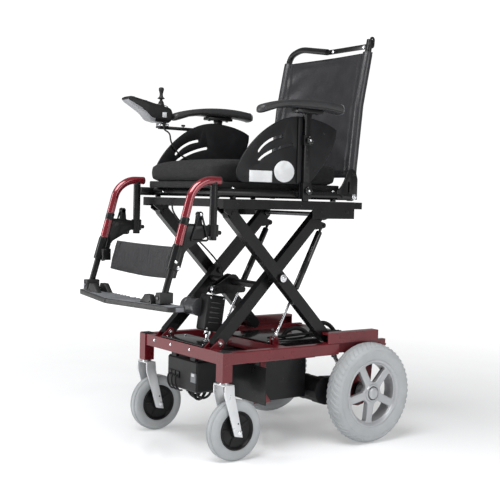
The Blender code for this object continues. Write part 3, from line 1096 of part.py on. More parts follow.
def make_controller(arm):
    x = -CONTROL_X
    half = POD_WIDTH / 2
    control = body("controller_axis", (x, STICK_Y, CONTROL_Z), arm)
    bar = block((x - CONTROL_BAR / 2, x + CONTROL_BAR / 2), (STICK_Y - 0.008, ARM_POST_Y + 0.060),
                (CONTROL_Z - CONTROL_BAR / 2, CONTROL_Z + CONTROL_BAR / 2), 0.001)
    foot = block((x - 0.018, x + 0.009), (STICK_Y - 0.010, STICK_Y + 0.030),
                 (CONTROL_Z - 0.002, POD_TOP - 0.060 - GAP), 0.001)
    knob = rod((x, STICK_Y + 0.097, CONTROL_Z), (x, STICK_Y + 0.097, CONTROL_Z + 0.016), 0.008, sides=10)
    node("controller_arm", control, joined([bar, foot, knob]), "black_steel")
    base = POD_TOP - 0.060
    outline = [(STICK_Y + 0.035, base + 0.004), (STICK_Y + 0.035, POD_TOP - 0.014),
               (STICK_Y + 0.022, POD_TOP), (STICK_Y - 0.024, POD_TOP + 0.010),
               (STICK_Y - 0.138, POD_TOP + 0.031), (STICK_Y - 0.152, POD_TOP + 0.024),
               (STICK_Y - 0.152, POD_TOP + 0.014), (STICK_Y - 0.075, POD_TOP - 0.032),
               (STICK_Y - 0.057, base + 0.002), (STICK_Y - 0.018, base), (STICK_Y + 0.025, base)]
    shell = plate(outline, "x", (x - half, x + half), 0.005)
    well = rod((x, STICK_Y, POD_TOP - 0.018), (x, STICK_Y, POD_TOP + 0.03), WELL_RADIUS, sides=20)
    button_y = STICK_Y - 0.098
    button_z = POD_TOP + 0.0235
    up = Vector((0, 0.021, 0.114)).normalized()
    socket = Vector((x, button_y, button_z))
    hole = rod(socket - up * 0.006, socket + up * 0.01, 0.0075 + RUN, sides=16)
    gland_x = x + 0.018
    gland = rod((gland_x, STICK_Y + 0.004, base - 0.010), (gland_x, STICK_Y + 0.004, base + 0.004), 0.006,
                0.007, 10)
    node("controller_housing", control, joined([shell, gland], [well, hole]), "black_plastic")
    push = body("power_button_axis", socket, control)
    cap = rod(socket - up * 0.0045, socket + up * 0.002, 0.0075, 0.0068, 16)
    node("power_button", push, cap, "grey_plastic")
    # The stick tilts on two stubs in a ring, and the ring on two stubs in the well
    pivot = Vector((x, STICK_Y, POD_TOP - 0.006))
    flat = cos(pi / 20)
    pitch = body("joystick_pitch_axis", pivot, control)
    outer = WELL_RADIUS * flat - 0.0010
    ring = [(GIMBAL_BORE, -0.002), (outer, -0.002), (outer, 0.002), (GIMBAL_BORE, 0.002)]
    hoop = [turned(ring, pivot, (0, 0, 1), 20)]
    for side in (-1, 1):
        hoop.append(x_rod((x + side * (outer - 0.001), x + side * (WELL_RADIUS * flat - GAP)),
                          pivot.yz, 0.0013, 8))
    node("joystick_ring", pitch, joined(hoop), "black_plastic")
    roll = body("joystick_axis", pivot, pitch)
    stick = [(0, -0.0085), (0.0095, -0.0085), (0.0165, -0.002), (0.0130, 0.001), (0.0152, 0.005),
             (0.0115, 0.009), (0.0128, 0.013), (0.0095, 0.017), (0.0105, 0.021), (0.0060, 0.026),
             (0.0042, 0.033), (0.0130, 0.0345), (0.0140, 0.038), (0.0070, 0.042), (0.0055, 0.055),
             (0.0100, 0.066), (0.0095, 0.074), (0.0040, 0.077), (0, 0.077)]
    grip = [turned(stick, pivot, (0, 0, 1), 12, ring=False)]
    for side in (-1, 1):
        reach = side * (GIMBAL_BORE * flat - GAP)
        grip.append(rod(pivot + Vector((0, side * 0.012, 0)), pivot + Vector((0, reach, 0)), 0.0013,
                        sides=8))
    node("joystick_stick", roll, joined(grip), "black_plastic")
    # Lead from the gland down behind the side panel
    first = Vector((gland_x, STICK_Y + 0.004, base - 0.010 - GAP))
    start = first - Vector((0, 0, 2 * CABLE_RADIUS))
    inner = -(PANEL_X - PANEL_THICK / 2 - 0.006)
    turn = Vector((inner, STICK_Y + 0.020, PANEL_TOP - 0.058))
    route = [first]
    route += bezier(start, start + Vector((0, 0, -0.014)), turn + Vector((-0.002, -0.003, 0.020)), turn, 5)
    route += bezier(turn, turn + Vector((0, 0.002, -0.032)), turn + Vector((0, 0.030, -0.075)),
                    turn + Vector((0, 0.110, -0.088)), 10)[1:]
    node("controller_cable", control, pipe(route, CABLE_RADIUS, 8), "black_rubber")


def make_hangers(seat):
    lean = radians(LEG_TILT)
    down = Vector((0, -sin(lean), -cos(lean)))
    join = Vector((0, *LEG_JOIN))
    for name, s in SIDES:
        x = s * HANGER_X
        here = Vector((x, 0, 0))
        swing = body("hanger_axis_" + name, (x, HANGER_POST_Y, HANGER_HIGH), seat)
        tube_z = HANGER_HIGH + GAP + HANGER_TUBE
        upper = join - down * 0.178
        corners = [(x, HANGER_POST_Y + 0.026, tube_z), (x, HANGER_POST_Y - 0.034, tube_z),
                   (x, upper.y - 0.002, upper.z + 0.002), here + join + down * 0.010]
        pieces = [pipe(rounded_route(corners, 0.040, 3), HANGER_TUBE)]
        pieces.append(rod((x, HANGER_POST_Y, HANGER_HIGH - 0.031), (x, HANGER_POST_Y, tube_z), 0.006, sides=8))
        pieces.append(rod((x, HANGER_POST_Y, HANGER_HIGH + GAP), (x, HANGER_POST_Y, tube_z), 0.0125))
        pieces.append(rod(here + join, here + join + down * 0.075, HANGER_TUBE + 0.003))
        # Wedge bracket back to a ring on the post
        ring_z = (HANGER_LOW + 0.012, HANGER_LOW + 0.050)
        pieces.append(rod((x, HANGER_POST_Y, ring_z[0]), (x, HANGER_POST_Y, ring_z[1]), POST_RADIUS + 0.0055))
        back, (knee_y, knee_z) = HANGER_POST_Y, LEG_JOIN
        ear = (back - 0.055, knee_z + 0.099)
        wedge = [(knee_y + 0.022, knee_z + 0.071), (back - 0.066, knee_z + 0.069),
                 (ear[0] - 0.007, ear[1]), (ear[0] + 0.007, ear[1]),
                 (back - 0.044, knee_z + 0.067), (back - 0.014, knee_z + 0.063),
                 (back - 0.014, knee_z + 0.035), (back - 0.085, knee_z + 0.005),
                 (knee_y - 0.016, knee_z - 0.061), (knee_y - 0.006, knee_z - 0.001)]
        pieces.append(plate(wedge, "x", (x - 0.006, x + 0.006)))
        pieces.append(x_rod((x - s * 0.006, x + s * 0.006), ear, 0.0085, 10))
        pieces.append(x_rod((x + s * 0.004, x + s * 0.016), ear, 0.004, 8))
        bore = rod(here + join - down * 0.070, here + join + down * 0.09, LEG_TUBE + RUN)
        ring_bore = rod((x, HANGER_POST_Y, ring_z[0] - 0.01), (x, HANGER_POST_Y, ring_z[1] + 0.01),
                        turning(POST_RADIUS, 10))
        # Strap bracket on the inner side of the sleeve
        pin = strap_point(1.0, 0.5)
        tube_y = (join + down * ((LEG_JOIN[1] - pin[1]) / cos(lean))).y
        bracket = block(pair(s, STRAP_END + GAP, HANGER_X - 0.008), (tube_y, pin[0] + 0.006),
                        (pin[1] - 0.020, pin[1] + 0.020))
        pieces.append(bracket)
        node("hanger_" + name, swing, joined(pieces, [bore, ring_bore]), "red_steel")
        # Release lever: an inverted V of wire on the ear
        lever = body("release_axis_" + name, (x, *ear), swing)
        off = x + s * 0.0105
        eye = x_rod((off - 0.003, off + 0.003), ear, 0.0085, 10)
        wire = rounded_route([(off, ear[0] - 0.003, ear[1]), (off, ear[0] - 0.032, ear[1] - 0.082),
                              (off, ear[0] + 0.032, ear[1] - 0.082), (off, ear[0] + 0.003, ear[1])],
                             0.010, 2)
        hole = x_rod((off - 0.006, off + 0.006), ear, turning(0.004), 8)
        node("release_lever_" + name, lever, joined([eye, pipe(wire, 0.0028, 6)], [hole]), "bright_steel")
        node("calf_strap_" + name, swing, calf_strap(s), "black_cloth")
        make_leg(s, name, swing, join, down)


def strap_point(u, v):
    """Centre line of the calf strap: u from the middle to the end, v from bottom to top."""
    z = STRAP_BOTTOM + (STRAP_TOP - STRAP_BOTTOM) * v
    front = LEG_JOIN[0] + 0.027 - 0.012 * u * u
    return (front + (z - STRAP_BOTTOM) * 0.21, z)


def calf_strap(s):
    """Half of the calf strap, hung between the hangers with a slight belly."""
    across, up = 9, 5
    bm = bmesh.new()
    layers = []
    for side in (-1, 1):
        grid = []
        for k in range(across + 1):
            u = k / across
            line = []
            for j in range(up + 1):
                v = j / up
                y, z = strap_point(u, v)
                dip = -0.010 * (1 - u * u) * (1 if v < 0.5 else 0.3)
                edge = 0.55 + 0.45 * sin(pi * min(max(v, 0.06), 0.94))
                fold = 0.003 * sin(pi * (1.5 * u + v))
                x = GAP / 2 + (STRAP_END - GAP / 2) * u
                line.append(bm.verts.new((s * x, y + fold + side * STRAP_THICK / 2 * edge, z + dip)))
            grid.append(line)
        layers.append(grid)
    near, far = layers
    for grid in layers:
        for k in range(across):
            for j in range(up):
                bm.faces.new((grid[k][j], grid[k + 1][j], grid[k + 1][j + 1], grid[k][j + 1]))
    for k in range(across):
        for j in (0, up):
            bm.faces.new((near[k][j], near[k + 1][j], far[k + 1][j], far[k][j]))
    for j in range(up):
        for k in (0, across):
            bm.faces.new((near[k][j], near[k][j + 1], far[k][j + 1], far[k][j]))
    return mesh_object(bm)


def make_leg(s, name, swing, join, down):
    x = s * HANGER_X
    here = Vector((x, 0, 0))
    slide = body("leg_axis_" + name, here + join, swing)
    hinge_z = FOOT_TOP + 0.008
    end = join + down * ((LEG_JOIN[1] - hinge_z - 0.022) / cos(radians(LEG_TILT)))
    pieces = [rod(here + join - down * 0.005, here + end, LEG_TUBE)]
    # Shoe: carries the footplate's hinge pin inboard of the tube
    pin_y = (end.y - 0.030, end.y + 0.030)
    pin_x = s * FOOT_HINGE_X
    pieces.append(block(pair(s, HANGER_X - 0.014, HANGER_X + 0.014), (end.y - 0.024, end.y + 0.024),
                        (hinge_z - 0.004, hinge_z + 0.030)))
    pieces.append(block(pair(s, FOOT_HINGE_X - 0.004, HANGER_X - 0.010), (end.y - 0.011, end.y + 0.011),
                        (hinge_z - 0.0055, hinge_z + 0.009)))
    pieces.append(rod((pin_x, pin_y[0], hinge_z), (pin_x, pin_y[1], hinge_z), 0.0035, sides=12))
    node("leg_tube_" + name, slide, joined(pieces), "black_steel")
    fold = body("footplate_axis_" + name, (pin_x, end.y, hinge_z), slide)
    bottom = FOOT_TOP - FOOT_THICK
    front, rear = -FOOT_FRONT, -FOOT_FRONT + FOOT_DEPTH
    outline = [(s * 0.0008, front), (s * (FOOT_HALF - 0.012), front + FOOT_SWEEP - 0.002),
               (s * FOOT_HALF, front + FOOT_SWEEP + 0.010), (s * FOOT_HALF, rear + 0.012),
               (s * (FOOT_HALF - 0.010), rear + 0.018), (s * 0.0008, rear)]
    plate_top = plate(outline, "z", (bottom, FOOT_TOP), 0.003)
    pieces = [plate_top]
    holes = [rod((pin_x, pin_y[0] - 0.01, hinge_z), (pin_x, pin_y[1] + 0.01, hinge_z), 0.0035 + RUN, sides=12)]
    for y in (end.y - 0.021, end.y + 0.021):
        knuckle = [(pin_x - s * 0.030, FOOT_TOP - 0.002), (pin_x - s * 0.010, hinge_z + 0.009),
                   (pin_x + s * 0.006, hinge_z + 0.009), (pin_x + s * 0.009, hinge_z),
                   (pin_x + s * 0.009, FOOT_TOP - 0.002)]
        pieces.append(plate(knuckle, "y", (y - 0.0085, y + 0.0085)))
    node("footplate_" + name, fold, joined(pieces, holes), "grey_plastic")


def make_lift_cable(seat):
    """Lead from the lift frame's front tube down to the inner arms' cross tube."""
    tube_y, tube_z = cross_tube_at()
    start = Vector((LIFT_CABLE_X, LIFT_FRONT_Y + 0.015, HIGH_PIVOT_Z + ARM_DEPTH / 2 + RUN - GAP))
    end = Vector((LIFT_CABLE_X, tube_y, tube_z + CROSS_TUBE_RADIUS + GAP))
    straight = Vector((0, 0, 2 * CABLE_RADIUS))
    route = [start]
    route += bezier(start - straight, start - straight * 10, end + straight * 12, end + straight, 16)
    route.append(end)
    node("lift_cable", seat, pipe(route, CABLE_RADIUS, 8), "black_rubber")


seat_body = make_lift_frame(outer_arms)
make_seat(seat_body)
make_side_panels(seat_body)
make_backrest(seat_body)
armrests = make_armrests(seat_body)
make_controller(armrests["right"])
make_hangers(seat_body)
make_lift_cable(seat_body)
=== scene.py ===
"""Looks of the elevating power wheelchair: materials, fine surfaces, soft goods, camera and light.

Sizes are in metres. The pieces are drawn in the CAD source's own frame, where y is measured
from the drive axle, and Piece.done moves them by AXLE_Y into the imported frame.
"""
from math import atan2, cos, degrees, pi, radians, sin, sqrt

import bmesh
import bpy
from mathutils import Matrix, Vector, noise


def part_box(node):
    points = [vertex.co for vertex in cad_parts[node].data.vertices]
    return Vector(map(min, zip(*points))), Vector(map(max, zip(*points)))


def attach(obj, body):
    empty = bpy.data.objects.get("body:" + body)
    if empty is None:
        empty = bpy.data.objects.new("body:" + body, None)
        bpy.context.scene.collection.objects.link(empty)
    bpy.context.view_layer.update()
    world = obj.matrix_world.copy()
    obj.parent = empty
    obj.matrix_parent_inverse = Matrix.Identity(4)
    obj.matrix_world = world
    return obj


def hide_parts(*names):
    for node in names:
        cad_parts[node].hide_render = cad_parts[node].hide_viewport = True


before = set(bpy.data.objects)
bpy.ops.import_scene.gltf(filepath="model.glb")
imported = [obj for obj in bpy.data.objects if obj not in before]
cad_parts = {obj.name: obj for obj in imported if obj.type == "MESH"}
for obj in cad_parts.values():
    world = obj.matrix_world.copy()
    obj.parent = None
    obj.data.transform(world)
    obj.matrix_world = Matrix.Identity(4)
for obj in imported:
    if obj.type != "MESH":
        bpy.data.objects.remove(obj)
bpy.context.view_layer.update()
scene = bpy.context.scene
AXLE_Y = 0.36125
SIDES = (("left", 1), ("right", -1))
GAP = 0.0003


# Materials
def link(tree, a, b):
    tree.links.new(a, b)


class Look:
    """A Principled material and the nodes that give it texture."""

    def __init__(self, name, colour, rough=0.5, metal=0.0, coat=0.0, sheen=0.0, spec=0.5):
        self.mat = bpy.data.materials.new(name)
        self.mat.use_nodes = True
        self.tree = self.mat.node_tree
        self.shader = self.tree.nodes["Principled BSDF"]
        self.colour = (*colour, 1)
        self.set("Base Color", self.colour)
        self.set("Roughness", rough)
        self.set("Metallic", metal)
        self.set("Specular IOR Level", spec)
        if coat:
            self.set("Coat Weight", coat)
            self.set("Coat Roughness", 0.08)
        if sheen:
            self.set("Sheen Weight", sheen)
            self.set("Sheen Roughness", 0.6)
        self.normal = None
        self.mat.diffuse_color = self.colour

    def set(self, socket, value):
        self.shader.inputs[socket].default_value = value

    def node(self, kind, **values):
        n = self.tree.nodes.new("ShaderNode" + kind)
        for key, value in values.items():
            if hasattr(n, key):
                setattr(n, key, value)
            else:
                n.inputs[key].default_value = value
        return n

    def place(self, scale=(1, 1, 1), turn=(0, 0, 0)):
        at = self.node("TexCoord")
        m = self.node("Mapping")
        m.inputs["Scale"].default_value = scale
        m.inputs["Rotation"].default_value = turn
        link(self.tree, at.outputs["Object"], m.inputs["Vector"])
        return m.outputs["Vector"]

    def ramp(self, source, low, high, to=(0.0, 1.0)):
        n = self.node("MapRange")
        n.inputs["From Min"].default_value = low
        n.inputs["From Max"].default_value = high
        n.inputs["To Min"].default_value = to[0]
        n.inputs["To Max"].default_value = to[1]
        link(self.tree, source, n.inputs["Value"])
        return n.outputs["Result"]

    def noise(self, scale, detail=3.0, vector=None, rough=0.55):
        n = self.node("TexNoise")
        n.inputs["Scale"].default_value = scale
        n.inputs["Detail"].default_value = detail
        n.inputs["Roughness"].default_value = rough
        link(self.tree, vector or self.place(), n.inputs["Vector"])
        return n.outputs["Fac"]

    def mottle(self, other, source, low=0.4, high=0.65):
        """Blends the base colour towards another where the source is high."""
        mix = self.node("Mix", data_type="RGBA")
        socket = self.shader.inputs["Base Color"]
        if socket.is_linked:
            link(self.tree, socket.links[0].from_socket, mix.inputs[6])
        else:
            mix.inputs[6].default_value = self.colour
        mix.inputs[7].default_value = (*other, 1)
        link(self.tree, self.ramp(source, low, high), mix.inputs[0])
        link(self.tree, mix.outputs[2], socket)
        return self

    def vary(self, source, low, high, at=(0.3, 0.7)):
        link(self.tree, self.ramp(source, at[0], at[1], (low, high)), self.shader.inputs["Roughness"])
        return self

    def bump(self, height, strength, distance):
        n = self.node("Bump")
        n.inputs["Strength"].default_value = strength
        n.inputs["Distance"].default_value = distance
        link(self.tree, height, n.inputs["Height"])
        if self.normal:
            link(self.tree, self.normal, n.inputs["Normal"])
        self.normal = n.outputs["Normal"]
        link(self.tree, self.normal, self.shader.inputs["Normal"])
        return self

    def round_edges(self, radius):
        """Softens the light on sharp edges."""
        n = self.node("Bevel")
        n.samples = 6
        n.inputs["Radius"].default_value = radius
        self.normal = n.outputs["Normal"]
        link(self.tree, self.normal, self.shader.inputs["Normal"])
        return self


def paint(name, colour, other, rough, coat, metal=0.0, flake=0.0, spec=0.5):
    """Sprayed paint: orange peel, faint cloudiness, dust in places and softened edges."""
    k = Look(name, colour, rough, metal, coat, spec=spec)
    k.round_edges(0.0011)
    k.mottle(other, k.noise(9.0, 4.0), 0.42, 0.75)
    k.vary(k.noise(23.0, 5.0), rough * 0.85, rough * 1.25)
    if flake:
        bright = [min(1, c * (1.2 + flake) + 0.012 * flake) for c in colour]
        k.mottle(bright, k.noise(1500.0, 1.0), 0.58, 0.70)
    k.bump(k.noise(420.0, 2.0), 0.10, 0.0004)
    return k.mat


def plastic(name, colour, rough, grain=900.0, depth=0.22, spec=0.5):
    """Moulded plastic with a fine grain."""
    k = Look(name, colour, rough, spec=spec)
    k.round_edges(0.0009)
    k.mottle([c * 1.5 + 0.004 for c in colour], k.noise(14.0, 4.0), 0.45, 0.8)
    k.vary(k.noise(35.0, 4.0), rough * 0.88, rough * 1.15)
    k.bump(k.noise(grain, 2.0), depth, 0.0003)
    return k.mat


def metal(name, colour, rough, brushed):
    """Bare or plated metal with fine drawing lines."""
    k = Look(name, colour, rough, 1.0)
    k.round_edges(0.0006)
    k.mottle([c * 0.78 for c in colour], k.noise(18.0, 5.0), 0.45, 0.85)
    k.vary(k.noise(60.0, 5.0, k.place(brushed)), rough * 0.8, rough * 1.35)
    k.bump(k.noise(700.0, 2.0, k.place(brushed)), 0.05, 0.0002)
    return k.mat


THREAD_SCALE = 20


def woven(name, colour, pale, pitch, rough=0.9, sheen=0.25, depth=0.6):
    """Plain weave: two crossed sets of threads."""
    k = Look(name, colour, rough, 0.0, 0.0, sheen, 0.3)
    heights = []
    for direction in ("X", "Y", "Z"):
        w = k.node("TexWave", wave_type="BANDS", bands_direction=direction, wave_profile="SIN")
        w.inputs["Scale"].default_value = 1.0 / pitch / THREAD_SCALE
        w.inputs["Distortion"].default_value = 0.6
        w.inputs["Detail"].default_value = 1.0
        w.inputs["Detail Scale"].default_value = 2.0
        link(k.tree, k.place((THREAD_SCALE,) * 3), w.inputs["Vector"])
        heights.append(w.outputs["Fac"])
    total = k.node("Math", operation="ADD")
    link(k.tree, heights[0], total.inputs[0])
    link(k.tree, heights[1], total.inputs[1])
    more = k.node("Math", operation="ADD")
    link(k.tree, total.outputs[0], more.inputs[0])
    link(k.tree, heights[2], more.inputs[1])
    k.mottle(pale, more.outputs[0], 1.4, 2.6)
    k.mottle([c * 1.6 for c in colour], k.noise(7.0, 5.0), 0.45, 0.8)
    k.vary(k.noise(50.0, 3.0), rough - 0.08, min(1.0, rough + 0.06))
    k.bump(more.outputs[0], depth, 0.0006)
    k.bump(k.noise(60.0, 4.0), 0.18, 0.002)
    return k.mat


def hide(name, colour, pale, rough, cell=260.0, depth=0.35):
    """Vinyl or leather grain: small cells, creases and slow colour change."""
    k = Look(name, colour, rough, 0.0, 0.0, 0.0, 0.5)
    v = k.node("TexVoronoi", feature="F1")
    v.inputs["Scale"].default_value = cell
    link(k.tree, k.place(), v.inputs["Vector"])
    k.mottle(pale, k.noise(6.0, 5.0), 0.42, 0.78)
    k.mottle([c * 1.35 for c in colour], v.outputs["Distance"], 0.25, 0.75)
    k.vary(k.noise(18.0, 4.0), rough * 0.85, rough * 1.2)
    k.bump(v.outputs["Distance"], depth, 0.0005)
    k.bump(k.noise(45.0, 4.0), 0.12, 0.0015)
    return k.mat


def tyre_rubber(name, colour):
    """Grey solid rubber with dust in its pores and paler rubbed places."""
    k = Look(name, colour, 0.78, 0.0, 0.0, 0.0, 0.35)
    k.round_edges(0.0008)
    k.mottle([c * 1.12 for c in colour], k.noise(16.0, 6.0), 0.40, 0.75)
    k.mottle([c * 0.80 for c in colour], k.noise(5.0, 5.0), 0.50, 0.85)
    k.vary(k.noise(40.0, 4.0), 0.68, 0.88)
    k.bump(k.noise(650.0, 3.0), 0.20, 0.0004)
    return k.mat


M = {
    "black": paint("black_steel_paint", (0.0040, 0.0040, 0.0046), (0.0075, 0.0075, 0.0082), 0.30, 0.12,
                   spec=0.22),
    "red": paint("red_steel_paint", (0.112, 0.0040, 0.0085), (0.080, 0.0025, 0.0060), 0.30, 0.45,
                 metal=0.15, flake=1.0, spec=0.35),
    "hanger": paint("red_tube_paint", (0.150, 0.0040, 0.0110), (0.110, 0.003, 0.008), 0.20, 1.0,
                    metal=0.45, flake=2.4),
    "shoe": plastic("black_foot_plastic", (0.0085, 0.0085, 0.0090), 0.48, 600.0, 0.35, 0.4),
    "tread": plastic("grey_foot_tread", (0.105, 0.110, 0.118), 0.62, 260.0, 0.8, 0.4),
    "bright": metal("bright_steel_plate", (0.72, 0.73, 0.75), 0.20, (1, 1, 12)),
    "dull": metal("dark_axle_steel", (0.10, 0.10, 0.105), 0.36, (1, 1, 10)),
    "fork": paint("fork_silver", (0.62, 0.63, 0.64), (0.52, 0.53, 0.55), 0.30, 0.4, 0.45),
    "rim": paint("rim_silver_paint", (0.42, 0.43, 0.445), (0.36, 0.37, 0.385), 0.36, 0.3, 0.35),
    "tyre": tyre_rubber("grey_tyre_rubber", (0.37, 0.385, 0.395)),
    "plastic": plastic("black_plastic_grain", (0.0055, 0.0055, 0.0062), 0.42, spec=0.24),
    "gloss": plastic("black_plastic_gloss", (0.0075, 0.0075, 0.0080), 0.14, 300.0, 0.05),
    "panel": plastic("side_panel_grain", (0.0042, 0.0044, 0.0052), 0.42, 700.0, 0.30, 0.22),
    "grey": plastic("grey_plastic_grain", (0.115, 0.12, 0.13), 0.48, 500.0, 0.4),
    "pale": plastic("pale_grey_plastic", (0.42, 0.43, 0.44), 0.42),
    "white": plastic("blank_plate", (0.52, 0.53, 0.54), 0.40, 300.0, 0.08),
    "cloth": woven("seat_cloth", (0.0030, 0.0030, 0.0034), (0.0075, 0.0075, 0.0082), 0.0014, 0.92, 0.03),
    "strap": woven("strap_cloth", (0.0075, 0.0075, 0.0090), (0.019, 0.019, 0.022), 0.0011, 0.88, 0.08),
    "vinyl": hide("back_vinyl", (0.0100, 0.0099, 0.0118), (0.016, 0.016, 0.019), 0.34),
    "pad": hide("arm_pad_skin", (0.0100, 0.0100, 0.0112), (0.019, 0.019, 0.021), 0.46, 420.0, 0.5),
    "motor": paint("motor_grey_paint", (0.030, 0.031, 0.034), (0.045, 0.046, 0.050), 0.38, 0.2, spec=0.4),
    "pale_metal": metal("motor_plate", (0.55, 0.55, 0.56), 0.30, (1, 1, 8)),
    "pod_under": plastic("pod_underside", (0.20, 0.205, 0.215), 0.40, 300.0, 0.06, 0.35),
    "thread": plastic("black_thread", (0.012, 0.012, 0.013), 0.7, 400.0, 0.2, 0.3),
    "rubber": plastic("black_rubber_skin", (0.0075, 0.0075, 0.0080), 0.60, 500.0, 0.3, 0.35),
}


# Shapes
def arc(centre, radius, start, end, steps):
    turns = [radians(start + (end - start) * i / steps) for i in range(steps + 1)]
    return [(centre[0] + radius * cos(t), centre[1] + radius * sin(t)) for t in turns]


def link_outline(p, q, radius, steps):
    """A round-ended bar from one point to another."""
    lean = degrees(atan2(q[1] - p[1], q[0] - p[0]))
    return arc(q, radius, lean - 90, lean + 90, steps) + arc(p, radius, lean + 90, lean + 270, steps)


def bezier(p0, p1, p2, p3, steps):
    points = []
    for i in range(steps + 1):
        t = i / steps
        w = ((1 - t) ** 3, 3 * t * (1 - t) ** 2, 3 * t * t * (1 - t), t ** 3)
        points.append(tuple(sum(a * p[k] for a, p in zip(w, (p0, p1, p2, p3))) for k in range(len(p0))))
    return points


def bend(a, here, b, t):
    """A point on the curve from a to b that here pulls outwards."""
    return a * (1 - t) ** 2 + here * 2 * t * (1 - t) + b * t * t


def corner(before, here, after, radius, steps):
    """Points round one corner; the rounding uses up to half of each side."""
    reach = min(radius, (here - before).length * 0.49, (after - here).length * 0.49)
    a = here + (before - here).normalized() * reach
    b = here + (after - here).normalized() * reach
    return [bend(a, here, b, i / steps) for i in range(steps + 1)]


def rounded_route(corners, radius, steps):
    """An open route with its corners rounded."""
    corners = [Vector(c) for c in corners]
    route = [corners[0]]
    for before, here, after in zip(corners, corners[1:], corners[2:]):
        route += corner(before, here, after, radius, steps)
    return route + [corners[-1]]


def closed_round(points, radius, steps=3):
    """A closed outline with its corners rounded."""
    count, out = len(points), []
    for i in range(count):
        around = [Vector(points[(i + d) % count]) for d in (-1, 0, 1)]
        out += [tuple(p) for p in corner(*around, radius, steps)]
    return out


def aim(bm, at, axis):
    """Turns a form that was drawn along z to an axis, and puts it in its place."""
    turn = Vector(axis).to_track_quat("Z", "Y").to_matrix().to_4x4()
    bmesh.ops.transform(bm, matrix=Matrix.Translation(at) @ turn, verts=bm.verts)
    return bm


def join(bm, other):
    mesh = bpy.data.meshes.new("part")
    other.to_mesh(mesh)
    other.free()
    bm.from_mesh(mesh)
    bpy.data.meshes.remove(mesh)


def evaluated(ob):
    """The object's mesh with its modifiers applied."""
    return bpy.data.meshes.new_from_object(ob.evaluated_get(bpy.context.evaluated_depsgraph_get()))


def shade(mesh, angle):
    mesh.shade_smooth()
    mesh.set_sharp_from_angle(angle=radians(angle))


def soften(bm, width, segments=2, angle=35):
    edges = [e for e in bm.edges if len(e.link_faces) == 2 and e.calc_face_angle(0) > radians(angle)]
    if edges and width:
        bmesh.ops.bevel(bm, geom=edges, offset=width, segments=segments, profile=0.5, affect="EDGES",
                        clamp_overlap=True)
    return bm


def block(x, y, z, soft=0.0012, segments=2):
    bm = bmesh.new()
    bmesh.ops.create_cube(bm, size=1.0)
    spans = [sorted(p) for p in (x, y, z)]
    bmesh.ops.scale(bm, vec=Vector([b - a for a, b in spans]), verts=bm.verts)
    bmesh.ops.translate(bm, vec=Vector([(a + b) / 2 for a, b in spans]), verts=bm.verts)
    return soften(bm, soft, segments)


def rod(a, b, radius, end_radius=None, sides=28, soft=0.0006):
    a, b = Vector(a), Vector(b)
    bm = bmesh.new()
    bmesh.ops.create_cone(bm, cap_ends=True, segments=sides, radius1=radius,
                          radius2=radius if end_radius is None else end_radius, depth=(b - a).length)
    aim(bm, (a + b) / 2, b - a)
    return soften(bm, min(soft, radius * 0.3), 2, 50)


def x_rod(x, yz, radius, sides=28, soft=0.0006):
    return rod((x[0], yz[0], yz[1]), (x[1], yz[0], yz[1]), radius, sides=sides, soft=soft)


def plate(outline, axis, span, soft=0.0008, segments=2, holes=()):
    """An outline, less any hole outlines, pushed along an axis."""
    put = {"x": lambda u, v, w: (w, u, v),
           "y": lambda u, v, w: (u, w, v),
           "z": lambda u, v, w: (u, v, w)}[axis]
    bm = bmesh.new()
    edges = []
    for loop in (outline, *holes):
        verts = [bm.verts.new(put(u, v, span[0])) for u, v in loop]
        edges += [bm.edges.new((a, b)) for a, b in zip(verts, verts[1:] + verts[:1])]
    if holes:
        bmesh.ops.triangle_fill(bm, edges=edges, use_beauty=True, use_dissolve=False)
        bmesh.ops.dissolve_limit(bm, angle_limit=0.01, verts=bm.verts, edges=bm.edges)
    else:
        bm.faces.new([e.verts[0] for e in edges])
    grown = bmesh.ops.extrude_face_region(bm, geom=bm.faces[:])["geom"]
    moved = [g for g in grown if isinstance(g, bmesh.types.BMVert)]
    bmesh.ops.translate(bm, vec=Vector(put(0, 0, span[1] - span[0])), verts=moved)
    along = Vector(put(0, 0, 1))
    rims = [e for e in bm.edges if abs((e.verts[0].co - e.verts[1].co).dot(along)) < 1e-7
            and len(e.link_faces) == 2 and e.calc_face_angle(0) > 1.0]
    if soft and rims:
        bmesh.ops.bevel(bm, geom=rims, offset=soft, segments=segments, profile=0.5, affect="EDGES",
                        clamp_overlap=True)
    bmesh.ops.recalc_face_normals(bm, faces=bm.faces)
    return bm


def turned(profile, centre, axis=(1, 0, 0), sides=64, ring=True):
    """A (radius, height) profile turned about an axis; a ring's profile is closed."""
    bm = bmesh.new()
    verts = [bm.verts.new((r, 0, h)) for r, h in profile]
    edges = [bm.edges.new(p) for p in zip(verts, verts[1:])]
    if ring:
        edges.append(bm.edges.new((verts[-1], verts[0])))
    bmesh.ops.spin(bm, geom=verts + edges, cent=(0, 0, 0), axis=(0, 0, 1), angle=2 * pi, steps=sides,
                   use_merge=True)
    bmesh.ops.remove_doubles(bm, verts=bm.verts, dist=1e-6)
    aim(bm, centre, axis)
    bmesh.ops.recalc_face_normals(bm, faces=bm.faces)
    return bm


def smooth_profile(points, steps=4):
    """A rounder profile through the points' middles."""
    out = [points[0]]
    for a, b, c in zip(points, points[1:], points[2:]):
        p = ((a[0] + b[0]) / 2, (a[1] + b[1]) / 2) if a is not points[0] else a
        q = ((b[0] + c[0]) / 2, (b[1] + c[1]) / 2) if c is not points[-1] else c
        for i in range(1 if out[-1] == p else 0, steps + 1):
            out.append(tuple(bend(p[k], b[k], q[k], i / steps) for k in (0, 1)))
    return out


